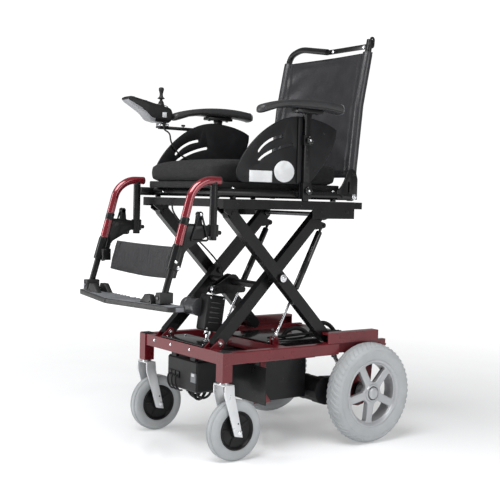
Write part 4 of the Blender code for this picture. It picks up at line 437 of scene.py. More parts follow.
def pipe(route, radius, sides=20, squash=(1, 1)):
    """A tube along a route; radius is a number or a function of the share along it."""
    route = [Vector(p) for p in route]
    bm = bmesh.new()
    rings, count = [], len(route)
    up = None
    total = sum((b - a).length for a, b in zip(route, route[1:])) or 1
    run = 0.0
    for i, p in enumerate(route):
        a, b = route[max(i - 1, 0)], route[min(i + 1, count - 1)]
        along = (b - a).normalized()
        if up is None:
            up = Vector((0, 0, 1)) if abs(along.z) < 0.9 else Vector((0, 1, 0))
        up = (up - along * up.dot(along)).normalized()
        side = along.cross(up)
        if i:
            run += (p - route[i - 1]).length
        r = radius(run / total) if callable(radius) else radius
        turns = [2 * pi * k / sides for k in range(sides)]
        rings.append([bm.verts.new(p + (side * cos(t) * squash[0] + up * sin(t) * squash[1]) * r)
                      for t in turns])
    for a, b in zip(rings, rings[1:]):
        for k in range(sides):
            bm.faces.new((a[k], a[(k + 1) % sides], b[(k + 1) % sides], b[k]))
    bm.faces.new(rings[0][::-1])
    bm.faces.new(rings[-1])
    bmesh.ops.recalc_face_normals(bm, faces=bm.faces)
    return bm


class Piece:
    """Several shapes joined in one object, each with its own finish."""

    def __init__(self, name):
        self.name = name
        self.bm = bmesh.new()
        self.looks = []

    def add(self, shape, look):
        if look not in self.looks:
            self.looks.append(look)
        index = self.looks.index(look)
        for face in shape.faces:
            face.material_index = index
        join(self.bm, shape)
        return self

    def done(self, body, replaces=(), angle=38):
        """Makes the object, which rides on the body and stands for the replaced nodes."""
        mesh = bpy.data.meshes.new(self.name)
        bmesh.ops.translate(self.bm, vec=(0, AXLE_Y, 0), verts=self.bm.verts)
        self.bm.to_mesh(mesh)
        self.bm.free()
        for look in self.looks:
            mesh.materials.append(M[look])
        shade(mesh, angle)
        ob = bpy.data.objects.new(self.name, mesh)
        scene.collection.objects.link(ob)
        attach(ob, body)
        if replaces:
            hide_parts(*replaces)
        return ob


def carve(ob, cutter):
    """Cuts a form out of a piece."""
    mesh = bpy.data.meshes.new("cutter")
    cutter.to_mesh(mesh)
    tool = bpy.data.objects.new("cutter", mesh)
    tool.location.y = AXLE_Y
    scene.collection.objects.link(tool)
    cut = ob.modifiers.new("cut", "BOOLEAN")
    cut.operation = "DIFFERENCE"
    cut.object = tool
    made = evaluated(ob)
    ob.modifiers.clear()
    ob.data = made
    bpy.data.objects.remove(tool)
    shade(made, 38)


# Camera, floor and light
CAMERA_AT = (2.7933, -2.3611 + AXLE_Y, 0.8577)
CAMERA_TURN, CAMERA_RISE, CAMERA_ROLL = 53.8957, 3.1172, 1.4804
CAMERA_LENS = 69.838
FLOOR_HALF, FLOOR_Z = 30, -0.0005
WORLD_LIGHT, WORLD_SEEN = 0.27, 1.05


def make_camera():
    cam = bpy.data.objects.new("camera", bpy.data.cameras.new("camera"))
    scene.collection.objects.link(cam)
    cam.data.sensor_width = 36
    cam.data.lens = CAMERA_LENS
    az, el, roll = radians(CAMERA_TURN), radians(CAMERA_RISE), radians(CAMERA_ROLL)
    back = Vector((sin(az) * cos(el), -cos(az) * cos(el), sin(el)))
    right = (-back).cross(Vector((0, 0, 1))).normalized()
    up = right.cross(-back)
    rolled_right = right * cos(roll) + up * sin(roll)
    rolled_up = up * cos(roll) - right * sin(roll)
    m = Matrix.Identity(4)
    for k in range(3):
        m[k][0], m[k][1], m[k][2] = rolled_right[k], rolled_up[k], back[k]
    m.translation = CAMERA_AT
    cam.matrix_world = m
    cam.data.clip_start = 0.05
    cam.data.clip_end = 100
    scene.camera = cam


def make_floor():
    mesh = bpy.data.meshes.new("floor")
    size = FLOOR_HALF
    corners = [(-size, -size, 0), (size, -size, 0), (size, size, 0), (-size, size, 0)]
    mesh.from_pydata(corners, [], [(0, 1, 2, 3)])
    floor = bpy.data.objects.new("floor", mesh)
    floor.location.z = FLOOR_Z
    scene.collection.objects.link(floor)
    k = Look("studio_floor", (0.86, 0.87, 0.88), 0.14, spec=0.55)
    k.vary(k.noise(2.0, 3.0), 0.10, 0.20)
    # Painted light: the floor glows, weakly near the chair and almost white far off, standing in for a lit
    # backdrop and lighting the chair's lower faces.
    far = k.node("VectorMath", operation="LENGTH")
    link(k.tree, k.place(), far.inputs[0])
    k.set("Emission Color", (1, 1, 1, 1))
    link(k.tree, k.ramp(far.outputs["Value"], 1.0, 4.5, (0.22, 0.95)), k.shader.inputs["Emission Strength"])
    mesh.materials.append(k.mat)


def make_world():
    """A white backdrop for the camera, and a dimmer one for light and reflections."""
    world = bpy.data.worlds.new("studio")
    scene.world = world
    world.use_nodes = True
    tree = world.node_tree
    sky = tree.nodes["Background"]
    sky.inputs["Color"].default_value = (1, 1, 1, 1)
    path = tree.nodes.new("ShaderNodeLightPath")
    power = tree.nodes.new("ShaderNodeMapRange")
    power.inputs["To Min"].default_value = WORLD_LIGHT
    power.inputs["To Max"].default_value = WORLD_SEEN
    link(tree, path.outputs["Is Camera Ray"], power.inputs["Value"])
    link(tree, power.outputs["Result"], sky.inputs["Strength"])


def make_light(name, at, target, size, power):
    light = bpy.data.lights.new(name, "AREA")
    light.shape = "RECTANGLE"
    light.size, light.size_y = size
    light.energy = power
    ob = bpy.data.objects.new(name, light)
    ob.location = at
    ob.rotation_euler = (Vector(target) - Vector(at)).to_track_quat("-Z", "Y").to_euler()
    scene.collection.objects.link(ob)


def make_stage():
    make_camera()
    make_floor()
    make_world()
    make_light("key", (0.6, -1.6, 3.4), (0, 0, 0.6), (2.6, 2.0), 150)
    make_light("near_side", (3.4, 0.6, 1.8), (0, 0, 0.7), (1.6, 2.2), 40)
    make_light("front_strip", (-1.6, -3.0, 1.2), (0, 0, 0.8), (0.9, 2.6), 62)
    scene.view_settings.view_transform = "Standard"
    scene.view_settings.look = "None"
    scene.view_settings.exposure = 0.0


make_stage()

# Finishes of the CAD solids that stay in view
FINISH = {"red": ["base_frame"],
          "black": ["battery_tray", "inner_arm_frame", "outer_arm_left", "outer_arm_right", "lift_frame"],
          "plastic": ["battery_left", "battery_right", "control_box", "motor_left", "motor_right"],
          "dull": ["upper_roller_axle"],
          "bright": ["freewheel_lever_left", "freewheel_lever_right"]}
for look, names in FINISH.items():
    for n in names:
        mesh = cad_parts[n].data
        mesh.materials.clear()
        mesh.materials.append(M[look])
        shade(mesh, 37)


# Places that the pieces share with the CAD source
TOP_PIVOT = 0.80313
LIFT_TOP = TOP_PIVOT + 0.046
SEAT_Z = LIFT_TOP + 0.0205
LOW_PIVOT = 0.373
FRONT_PIVOT_Y, ARM_REAR_Y = -0.565, -0.14525
MID_PIVOT = ((FRONT_PIVOT_Y + ARM_REAR_Y) / 2, (LOW_PIVOT + TOP_PIVOT) / 2)
INNER_X, OUTER_X, ARM_HALF = 0.157, 0.213, 0.015
RAIL_TOP = 0.357
WHEEL_X, WHEEL_R, WHEEL_HALF = 0.289, 0.1775, 0.037
SWIVEL_X, SWIVEL_Y = 0.248, -0.595
CASTER_Y, CASTER_R = -0.552, 0.100
SPOKES, SPOKE_STEP = 5, 72
DRIVE_SPOKE, CASTER_SPOKE = 47, 30


def pair(s, a, b):
    return tuple(sorted((s * a, s * b)))


def band(inner, outer, low, high):
    """Square profile of a ring."""
    return [(inner, low), (outer, low), (outer, high), (inner, high)]


def both_sides(side):
    """A profile and its mirror image, with a point on the middle line once."""
    return side + [(r, -h) for r, h in reversed(side) if h]


def spoke(y, z, angle, ends):
    """Outline of a rib from a wheel's middle, from its (radius, half width) ends."""
    outline = []
    for r, w in ends + [(r, -w) for r, w in reversed(ends)]:
        outline.append((y + r * cos(angle) - w * sin(angle), z + r * sin(angle) + w * cos(angle)))
    return outline


def bolt_head(at, axis, radius, tall):
    """A hexagon head with a chamfered crown, on a washer."""
    at, axis = Vector(at), Vector(axis).normalized()
    bm = rod(at, at + axis * tall * 0.25, radius * 1.35, soft=0.0003)
    join(bm, rod(at + axis * tall * 0.2, at + axis * tall, radius, radius * 0.92, sides=6, soft=0.0005))
    return bm


def dome(at, axis, radius, tall):
    """A round button head."""
    crown = [(radius * sin(t), tall * cos(t)) for t in (0.4, 0.8, 1.2, 1.5)]
    return turned([(0, tall)] + crown + [(radius, 0), (0, 0)], at, axis, 28, ring=False)


def tread(centre, line, count, slant, width, height):
    """Two rows of slanted bars from the crown of a tyre to its shoulders."""
    bm = bmesh.new()
    root = -0.0012
    for side in (-1, 1):
        for n in range(count):
            start = 2 * pi * (n + (0.5 if side > 0 else 0.0)) / count
            rings = []
            for i, (r, h) in enumerate(line):
                a, b = line[max(i - 1, 0)], line[min(i + 1, len(line) - 1)]
                out = Vector((b[1] - a[1], a[0] - b[0])).normalized()
                turn = start + slant * (h / line[-1][1]) ** 0.8
                ring = []
                for w, up in ((-0.5, root), (-0.38, height), (0.38, height), (0.5, root)):
                    rr, hh = r + out[0] * up, h + out[1] * up
                    t = turn + w * width / r
                    ring.append(bm.verts.new((centre[0] + side * hh, centre[1] + rr * cos(t),
                                              centre[2] + rr * sin(t))))
                rings.append(ring)
            for a, b in zip(rings, rings[1:]):
                for k in range(4):
                    bm.faces.new((a[k], a[(k + 1) % 4], b[(k + 1) % 4], b[k]))
            bm.faces.new(rings[0])
            bm.faces.new(rings[-1])
    bmesh.ops.recalc_face_normals(bm, faces=bm.faces)
    return bm


# Wheels
def make_drive_tyre(name, s, centre):
    skin = WHEEL_R - 0.0024
    wall = WHEEL_HALF
    side = [(0.1192, 0.0295), (0.1235, 0.0318), (0.131, 0.0345), (0.142, wall - 0.0005),
            (0.153, wall - 0.0008), (0.163, 0.0328), (0.1705, 0.0245), (0.1742, 0.0135), (skin, 0.0)]
    crown = [(skin, 0.0012), (0.1747, 0.008), (0.1738, 0.0145), (0.1716, 0.0212), (0.1682, 0.0268),
             (0.1640, 0.0312)]
    line = [(0.1495, wall - 0.0009), (0.1515, wall - 0.0002), (0.1535, wall - 0.0009)]
    tyre = Piece("tyre_looks_" + name)
    tyre.add(turned(smooth_profile(both_sides(side), 3), centre, sides=112), "tyre")
    tyre.add(tread(centre, crown, count=52, slant=0.16, width=0.0098, height=0.0022), "tyre")
    tyre.add(turned(line, centre, (s, 0, 0), 112), "tyre")
    tyre.done("drive_wheel_" + name, ["drive_tyre_" + name])


def rim_window(centre, spoke_angle):
    """Opening between two spokes, from its (radius, turn off its middle) corners."""
    mid = radians(spoke_angle + SPOKE_STEP // 2)
    loop = []
    for r, offset in ((0.0405, -15.0), (0.1035, -28.6), (0.1045, -14), (0.1048, 0), (0.1045, 14),
                      (0.1035, 28.6), (0.0405, 15.0)):
        t = mid + radians(offset)
        loop.append((centre[1] + r * cos(t), centre[2] + r * sin(t)))
    return closed_round(loop, 0.0085, 4)


def make_drive_rim(name, s, centre):
    axis = (s, 0, 0)
    turns = [DRIVE_SPOKE + SPOKE_STEP * k for k in range(SPOKES)]
    barrel = [(0.1055, -0.0265), (0.1125, -0.031), (0.1195, -0.0315), (0.1205, -0.029), (0.1150, -0.024),
              (0.1150, 0.024), (0.1205, 0.029), (0.1195, 0.0315), (0.1130, 0.031), (0.1085, 0.0265),
              (0.1050, 0.020), (0.1040, 0.004), (0.1040, -0.020)]
    cap = [(0, 0.0335), (0.010, 0.0333), (0.0185, 0.0318), (0.0208, 0.0295), (0.0212, 0.0235),
           (0.0245, 0.0235), (0.0252, 0.0275), (0.0295, 0.0275), (0.0312, 0.0255), (0.0335, 0.0215),
           (0.0335, -0.028), (0.010, -0.030), (0, -0.030)]
    rim = Piece("rim_looks_" + name)
    rim.add(turned(smooth_profile(barrel + [barrel[0]], 2), centre, axis, 96), "rim")
    rim.add(plate(arc(centre[1:], 0.1085, 0, 357, 119), "x", pair(s, WHEEL_X + 0.006, WHEEL_X + 0.0225),
                  0.0042, 3, [rim_window(centre, turn) for turn in turns]), "rim")
    rim.add(turned(cap, centre, axis, ring=False), "rim")
    # Thin black ring on the floor of the hub cap's groove: painted shade that darkens the groove.
    rim.add(turned(band(0.0214, 0.0243, 0.0236, 0.0241), centre, axis), "rubber")
    # Ribs at the back of the spokes
    for turn in turns:
        outline = spoke(0, centre[2], radians(turn), [(0.028, 0.0022), (0.104, 0.0022)])
        rim.add(plate(outline, "x", pair(s, WHEEL_X - 0.012, WHEEL_X + 0.010)), "rim")
    rim.done("drive_wheel_" + name, ["drive_rim_" + name])


def make_caster_tyre(name, centre):
    side = [(0.0635, 0.0185), (0.067, 0.0205), (0.075, 0.0240), (0.085, 0.0243), (0.0935, 0.0200),
            (0.0985, 0.0115), (0.0999, 0.0)]
    tyre = Piece("caster_tyre_looks_" + name)
    tyre.add(turned(smooth_profile(both_sides(side), 3), centre, sides=88), "tyre")
    for h in (-0.0115, -0.0060, 0.0060, 0.0115):
        r = 0.0999 - 0.06 * abs(h) ** 1.2
        ridge = [(r - 0.0018, h - 0.0013), (r + 0.0001, h - 0.0010), (r + 0.0001, h + 0.0010),
                 (r - 0.0018, h + 0.0013)]
        tyre.add(turned(ridge, centre, sides=88), "tyre")
    tyre.done("caster_wheel_" + name, ["caster_tyre_" + name])


def make_caster_hub(name, centre):
    x, y, z = centre
    dish = [(0.0645, 0.0190), (0.0640, 0.0205), (0.0600, 0.0207), (0.0565, 0.0165), (0.0540, 0.0125),
            (0.0350, 0.0115), (0.0245, 0.0135), (0.0215, 0.0225), (0.0185, 0.0275), (0.0060, 0.0280),
            (0.0055, 0.0285)]
    hub = Piece("caster_hub_looks_" + name)
    hub.add(turned(both_sides(dish), centre, sides=72), "plastic")
    for k in range(SPOKES):
        outline = spoke(y, z, radians(CASTER_SPOKE + SPOKE_STEP * k), [(0.020, 0.0046), (0.057, 0.0034)])
        hub.add(plate(outline, "x", (x - 0.0150, x + 0.0150), 0.0012), "plastic")
    hub.done("caster_wheel_" + name, ["caster_hub_" + name])


def make_caster_fork(name, centre):
    """Plate, two legs, axle, bolts and the swivel stem."""
    x, y, z = centre
    top, inside, bar = 0.255, 0.029, 0.005
    front, rear = SWIVEL_Y - 0.019, SWIVEL_Y + 0.019
    leg = [(rear - 0.0005, top - 0.004), (front + 0.0005, top - 0.004), (front + 0.001, top - 0.034),
           (y - 0.0185, z - 0.0135), (y + 0.0135, z - 0.0205), (rear + 0.001, top - 0.030)]
    fork = Piece("fork_looks_" + name)
    fork.add(block((x - inside - bar, x + inside + bar), (front, rear), (top - bar, top), 0.0045, 4), "fork")
    for side in (-1, 1):
        near = x + side * inside
        fork.add(plate(closed_round(leg, 0.003), "x", (near, near + side * bar), 0.0009, 3), "fork")
        face = near + side * bar
        fork.add(bolt_head((face, y + 0.001, z - 0.002), (side, 0, 0), 0.0060, 0.0045), "bright")
        # Black disc on the leg's outer face, standing for a small hole: painted shade.
        painted_hole_x = (face - side * 0.001, face + side * 0.0003)
        fork.add(x_rod(painted_hole_x, (y - 0.006, z + 0.027), 0.0032, 20), "rubber")
    fork.add(x_rod((x - inside - 0.003, x + inside + 0.003), (y, z), 0.0049), "bright")
    for low, high, radius, sides in ((top - 0.002, top + 0.0030, 0.0175, 40),
                                     (top + 0.0028, top + 0.0057, 0.0150, 40),
                                     (top, RAIL_TOP - 0.026, 0.0098, 24)):
        fork.add(rod((x, SWIVEL_Y, low), (x, SWIVEL_Y, high), radius, sides=sides), "bright")
    fork.done("caster_swivel_" + name, ["caster_fork_" + name])


def make_wheels():
    for name, s in SIDES:
        centre = (s * WHEEL_X, 0, WHEEL_R)
        make_drive_tyre(name, s, centre)
        make_drive_rim(name, s, centre)
    for name, s in SIDES:
        centre = (s * SWIVEL_X, CASTER_Y, CASTER_R)
        make_caster_tyre(name, centre)
        make_caster_hub(name, centre)
        make_caster_fork(name, centre)


# Base
def make_base_trim():
    """Caps, bolts and the ends of the guide channels."""
    cap = 0.0182
    trim = Piece("base_trim")
    for s in (1, -1):
        trim.add(block((s * SWIVEL_X - cap, s * SWIVEL_X + cap), (SWIVEL_Y - cap, SWIVEL_Y + cap),
                       (RAIL_TOP + 0.0007, RAIL_TOP + 0.0032), 0.0010), "rubber")
        # Bolt through each pivot ear of the inner arms
        for side in (-1, 1):
            at = (s * INNER_X + side * 0.0215, FRONT_PIVOT_Y, LOW_PIVOT)
            trim.add(bolt_head(at, (side, 0, 0), 0.0062, 0.0050), "bright")
        # Bolt heads along the outer face of each rail
        for y in (-0.330, 0.100):
            trim.add(dome((s * 0.265, y, RAIL_TOP - 0.018), (s, 0, 0), 0.0042, 0.0022), "red")
        # Black end of the guide channel
        trim.add(block(pair(s, 0.2330, 0.2650), (0.0618, 0.0642), (0.3568, 0.3935), 0.0006), "rubber")
    # Round bolts in the front tube
    for x in (-0.172, -0.062, 0.060):
        trim.add(dome((x, -0.610, RAIL_TOP - 0.016), (0, -1, 0), 0.0055, 0.0030), "bright")
    trim.done("chassis")


def make_tray_straps():
    foot = 0.158
    flare = [(-0.425, foot), (-0.350, foot), (-0.376, foot + 0.034), (-0.400, foot + 0.034)]
    strap = Piece("tray_straps")
    for s in (-1, 1):
        strap.add(block(pair(s, 0.1795, 0.1825), (-0.400, -0.376), (foot, RAIL_TOP - 0.042), 0.0008), "red")
        strap.add(plate(flare, "x", pair(s, 0.1800, 0.1835), 0.0006), "red")
    strap.done("chassis")


def make_base_wiring():
    """Loops and plugs under the front tube, and the harness over the rear cover."""
    low = 0.202
    level = RAIL_TOP + 0.007
    wires = Piece("base_wiring")
    for x, y, drop in ((0.012, -0.580, 0.030), (0.030, -0.576, 0.040), (0.052, -0.570, 0.034)):
        bottom = low - drop * 1.3
        loop = bezier((x, y, low + 0.004), (x, y - 0.006, bottom), (x + 0.016, y + 0.046, bottom),
                      (x + 0.018, y + 0.048, low + 0.004), 24)
        wires.add(pipe(loop, 0.0042, 12), "rubber")
        for end in (loop[0], loop[-1]):
            wires.add(rod((*end[:2], low - 0.014), (*end[:2], low + 0.010), 0.0068, sides=16), "plastic")
    for x in (-0.070, -0.046, -0.022):
        wires.add(block((x - 0.009, x + 0.009), (-0.6045, -0.5950), (low + 0.030, low + 0.052), 0.0015),
                  "plastic")
        loop = bezier((x, -0.6035, low + 0.040), (x, -0.622, low + 0.036), (x + 0.010, -0.618, low - 0.020),
                      (x + 0.016, -0.592, low - 0.012), 16)
        wires.add(pipe(loop, 0.0030, 10), "rubber")
    wires.add(block((0.062, 0.092), (-0.6040, -0.5990), (low + 0.028, low + 0.060), 0.0010), "grey")
    wires.add(block((0.068, 0.086), (-0.6050, -0.6035), (low + 0.048, low + 0.058), 0.0006), "pale")
    for x, rise in ((0.086, 0.004), (0.098, 0.003)):
        run = bezier((x, -0.300, level), (x + 0.010, -0.220, level + rise),
                     (x - 0.050, -0.060, level + 0.0005), (x - 0.030, 0.060, level), 24)
        wires.add(pipe(run, 0.0036, 10), "rubber")
    wires.done("chassis")


make_wheels()
make_base_trim()
make_tray_straps()
make_base_wiring()

# Legrests
POST_Y, HANGER_X = -0.650, 0.245
HANGER_LOW, HANGER_HIGH = SEAT_Z - 0.1516, SEAT_Z + 0.0234
LEAN = radians(16.3)
DOWN = Vector((0, -sin(LEAN), -cos(LEAN)))
JOIN = Vector((0, POST_Y - 0.129, HANGER_LOW - 0.017))
FOOT_TOP = SEAT_Z - 0.3491
FOOT_PIN_X = 0.205
FOOT_FRONT, FOOT_REAR = -0.900, -0.800
HINGE_Z = FOOT_TOP + 0.008
STRAP_LOW, STRAP_TALL, STRAP_HALF_SPAN = JOIN.z - 0.103, 0.097, 0.2152
EAR = (POST_Y - 0.055, JOIN.z + 0.099)


def open_end(bm, at):
    """Takes the end face off a tube, for what slides in it."""
    caps = [f for f in bm.faces if len(f.verts) > 20]
    end = min(caps, key=lambda f: (f.calc_center_median() - Vector(at)).length)
    bmesh.ops.delete(bm, geom=[end], context="FACES_ONLY")
    return bm


def make_hanger_tubes(hanger, s):
    """Red bent tube, its post, the sleeve that the leg tube slides in, and the band over it."""
    x = s * HANGER_X
    knee = Vector((x, 0, 0)) + JOIN
    top = HANGER_HIGH + GAP + 0.0135
    upper = JOIN - DOWN * 0.178
    corners = [(x, POST_Y + 0.022, top), (x, POST_Y - 0.034, top), (x, upper.y - 0.002, upper.z + 0.002),
               knee + DOWN * 0.004]
    sleeve = [(0.0109, 0), (0.0153, 0), (0.0163, 0.001), (0.0163, 0.074), (0.0153, 0.075), (0.0109, 0.075)]
    collar = [(0.0110, -0.004), (0.0146, -0.004), (0.0150, -0.003), (0.0150, 0.003), (0.0110, 0.003)]
    ring = (HANGER_LOW + 0.012, HANGER_LOW + 0.050)
    clamp = [(0.0131, ring[0]), (0.0131, ring[1]), (0.0170, ring[1]), (0.0180, ring[1] - 0.001),
             (0.0180, ring[0] + 0.001), (0.0170, ring[0])]
    hanger.add(open_end(pipe(rounded_route(corners, 0.040, 12), 0.0134, 36), corners[-1]), "hanger")
    hanger.add(rod((x, POST_Y + 0.021, top), (x, POST_Y + 0.027, top), 0.0140, 0.0132, soft=0.0015), "rubber")
    hanger.add(rod((x, POST_Y, HANGER_HIGH + GAP), (x, POST_Y, top - 0.004), 0.0128), "black")
    hanger.add(rod((x, POST_Y, HANGER_HIGH - 0.031), (x, POST_Y, top), 0.0058), "bright")
    hanger.add(turned(sleeve, knee, DOWN, 36), "black")
    hanger.add(turned(collar, knee, DOWN, 36), "black")
    hanger.add(rod(knee - DOWN * 0.092, knee - DOWN * 0.068, 0.0146, sides=36), "black")
    hanger.add(dome(knee + DOWN * 0.050 + Vector((s * 0.0155, 0, 0)), (s, 0, 0), 0.0058, 0.0042), "bright")
    hanger.add(turned(clamp, (x, POST_Y, 0), (0, 0, 1), 40), "black")
    hanger.add(x_rod((x - s * 0.006, x + s * 0.006), EAR, 0.0085), "black")
    hanger.add(x_rod((x + s * 0.004, x + s * 0.0155), EAR, 0.0038), "bright")
    hanger.add(dome((x + s * 0.0155, *EAR), (s, 0, 0), 0.0052, 0.0026), "bright")
    stop_z = ring[0] + 0.012
    hanger.add(rod((x, POST_Y + 0.0165, stop_z), (x, POST_Y + 0.030, stop_z), 0.0068, soft=0.002), "rubber")


def bore_for_leg(ob, s):
    """Opens a piece for the leg tube that slides through it."""
    knee = Vector((s * HANGER_X, 0, 0)) + JOIN
    carve(ob, rod(knee - DOWN * 0.075, knee + DOWN * 0.090, 0.0111, sides=40, soft=0))


def make_hanger_web(name, s):
    """Wedge plate between the post and the sleeve, and the two ribs on it."""
    x = s * HANGER_X
    y, z = JOIN.y, JOIN.z
    high, low = (POST_Y - 0.0145, z + 0.063), (POST_Y - 0.0145, z + 0.035)
    wedge = [(y + 0.022, z + 0.071), (POST_Y - 0.066, z + 0.069), (EAR[0] - 0.007, EAR[1]),
             (EAR[0], EAR[1] + 0.006), (EAR[0] + 0.007, EAR[1]), (POST_Y - 0.044, z + 0.067), high, low,
             (POST_Y - 0.085, z + 0.005), (y - 0.010, z - 0.061), (y - 0.004, z - 0.001)]
    rib = [high, low, (y + 0.010, z - 0.020), (y + 0.030, z + 0.062)]
    web = Piece("hanger_web_" + name)
    web.add(plate(closed_round(wedge, 0.003), "x", (x - 0.006, x + 0.006), 0.0012, 3), "black")
    ribs = Piece("hanger_ribs_" + name)
    for side in (-1, 1):
        ribs.add(plate(closed_round(rib, 0.006), "x", pair(1, x + side * 0.0055, x + side * 0.0068), 0.0005),
                 "black")
    for piece in (web, ribs):
        bore_for_leg(piece.done("hanger_" + name), s)


def make_strap_bracket(name, s, hanger):
    """Bracket of the calf strap, with its bolt plate and two bolts."""
    x = s * HANGER_X
    pin_z = JOIN.z - 0.006 - STRAP_TALL / 2
    tube_y = (JOIN + DOWN * ((JOIN.z - pin_z) / cos(LEAN))).y
    tab = [(tube_y + 0.006, pin_z - 0.026), (tube_y + 0.026, pin_z - 0.022), (tube_y + 0.044, pin_z + 0.040),
           (tube_y + 0.024, pin_z + 0.044)]
    bracket = Piece("strap_bracket_" + name)
    bracket.add(block(pair(s, 0.2160, HANGER_X - 0.006), (tube_y - 0.001, tube_y + 0.030),
                      (pin_z - 0.020, pin_z + 0.020), 0.0015), "black")
    bore_for_leg(bracket.done("hanger_" + name), s)
    hanger.add(plate(closed_round(tab, 0.007, 4), "x", pair(s, HANGER_X - 0.004, HANGER_X)), "black")
    for dz, dy in ((0.030, 0.031), (-0.014, 0.021)):
        hanger.add(bolt_head((x - s * 0.0005, tube_y + dy, pin_z + dz), (s, 0, 0), 0.0048, 0.0040), "bright")


def make_release_lever(name, s):
    x = s * HANGER_X + s * 0.0105
    y, z = EAR
    wire = rounded_route([(x, y - 0.004, z + 0.002), (x, y - 0.032, z - 0.082), (x, y + 0.032, z - 0.082),
                          (x, y + 0.004, z + 0.002)], 0.010, 8)
    eye = [(0.0045, -0.0029), (0.0088, -0.0029), (0.0092, 0), (0.0088, 0.0029), (0.0045, 0.0029)]
    lever = Piece("release_looks_" + name)
    lever.add(pipe(wire, 0.0028, 14, (1.0, 1.25)), "black")
    lever.add(turned(eye, (x, *EAR), sides=32), "black")
    lever.done("release_lever_" + name, ["release_lever_" + name])


def make_hangers():
    for name, s in SIDES:
        hanger = Piece("hanger_looks_" + name)
        make_hanger_tubes(hanger, s)
        make_hanger_web(name, s)
        make_strap_bracket(name, s, hanger)
        hanger.done("hanger_" + name, ["hanger_" + name])
        make_release_lever(name, s)


BELL_BASE = 2.718


def sew(a, b, width):
    """A bell curve round b, for a seam's pull on the cloth beside it."""
    return BELL_BASE ** -(((a - b) / width) ** 2)


def close_sheets(bm, near, far):
    """Joins two grids of points into one closed sheet with a front and a back."""
    rows, columns = len(near) - 1, len(near[0]) - 1
    for grid in (near, far):
        for i in range(rows):
            for k in range(columns):
                bm.faces.new((grid[i][k], grid[i + 1][k], grid[i + 1][k + 1], grid[i][k + 1]))
    for i in range(rows):
        for k in (0, columns):
            bm.faces.new((near[i][k], near[i + 1][k], far[i + 1][k], far[i][k]))
    for k in range(columns):
        for i in (0, rows):
            bm.faces.new((near[i][k], near[i][k + 1], far[i][k + 1], far[i][k]))
    bmesh.ops.recalc_face_normals(bm, faces=bm.faces)
    return bm


def strap_point(u, v):
    """Depth and height of the strap's middle, u of the way out and v of the way up."""
    rise = STRAP_TALL * v
    return JOIN.y + 0.027 - 0.012 * u * u + rise * 0.21, STRAP_LOW + rise


def strap_shape(s):
    """One half of the calf strap: a soft padded band with turned ends and stitched hems."""
    across, up = 44, 26
    bm = bmesh.new()
    layers = []
    for side in (-1, 1):
        grid = []
        for k in range(across + 1):
            u = k / across
            line = []
            for j in range(up + 1):
                v = j / up
                y, z = strap_point(u, v)
                dip = -0.010 * (1 - u * u) * (1 if v < 0.5 else 0.3)
                rim = sin(pi * v) ** 0.35 if 0 < v < 1 else 0.0
                end = min(1.0, ((1 - u) * 40 + 0.25)) ** 0.5
                hem = 1 - 0.35 * (sew(v, 0.075, 0.022) + sew(v, 0.925, 0.022))
                half = 0.0058 * max(rim, 0.10) * hem * end
                fold = 0.0022 * sin(pi * (1.5 * u + v)) + 0.0011 * noise.noise(Vector((u * 7, v * 3, s)))
                wrinkle = 0.0012 * noise.noise(Vector((u * 22, v * 5, 4 + s))) * min(1, (1 - u) * 6)
                x = s * (GAP / 2 + STRAP_HALF_SPAN * u)
                line.append(bm.verts.new((x, y + fold + wrinkle + side * half, z + dip)))
            grid.append(line)
        layers.append(grid)
    return close_sheets(bm, *layers)


def make_straps():
    """The strap's halves, each with the seam where the cloth is folded back round its bracket."""
    seam_at, steps = 0.86, 18
    for name, s in SIDES:
        strap = Piece("calf_strap_looks_" + name).add(strap_shape(s), "strap")
        seam = []
        for j in range(steps + 1):
            v = 0.03 + 0.94 * j / steps
            y, z = strap_point(seam_at, v)
            dip = 0.0026 * (1 if v < 0.5 else 0.3)
            seam.append((s * STRAP_HALF_SPAN * seam_at, y - 0.0062 * sin(pi * v) ** 0.35, z - dip))
        strap.add(pipe(seam, 0.0011, 8), "strap")
        strap.done("hanger_" + name, ["calf_strap_" + name], angle=60)


def make_leg(name, s, end):
    """Inner tube with its buttons, and the shoe that carries the footplate's pin."""
    x = s * HANGER_X
    here = Vector((x, 0, 0))
    leg = Piece("leg_looks_" + name)
    leg.add(rod(here + JOIN + DOWN * 0.010, here + end, 0.0104, sides=36), "black")
    for k in range(4):
        at = here + end - DOWN * (0.060 + 0.018 * k)
        leg.add(x_rod((at.x + s * 0.0098, at.x + s * 0.0106), at.yz, 0.0024, 16), "rubber")
    leg.add(block(pair(s, HANGER_X - 0.0140, HANGER_X + 0.0140), (end.y - 0.024, end.y + 0.024),
                  (HINGE_Z - 0.004, HINGE_Z + 0.030), 0.0022, 3), "shoe")
    leg.add(block(pair(s, FOOT_PIN_X - 0.004, HANGER_X - 0.010), (end.y - 0.011, end.y + 0.011),
                  (HINGE_Z - 0.0055, HINGE_Z + 0.009)), "shoe")
    leg.add(rod((s * FOOT_PIN_X, end.y - 0.0295, HINGE_Z), (s * FOOT_PIN_X, end.y + 0.0295, HINGE_Z), 0.0034),
            "bright")
    bolt_z = HINGE_Z + 0.013
    leg.add(rod((x, end.y - 0.0235, bolt_z), (x, end.y - 0.0262, bolt_z), 0.0075, soft=0.001), "plastic")
    leg.add(rod((x, end.y - 0.0255, bolt_z), (x, end.y - 0.0270, bolt_z), 0.0045, sides=6), "grey")
    leg.done("leg_" + name, ["leg_tube_" + name])


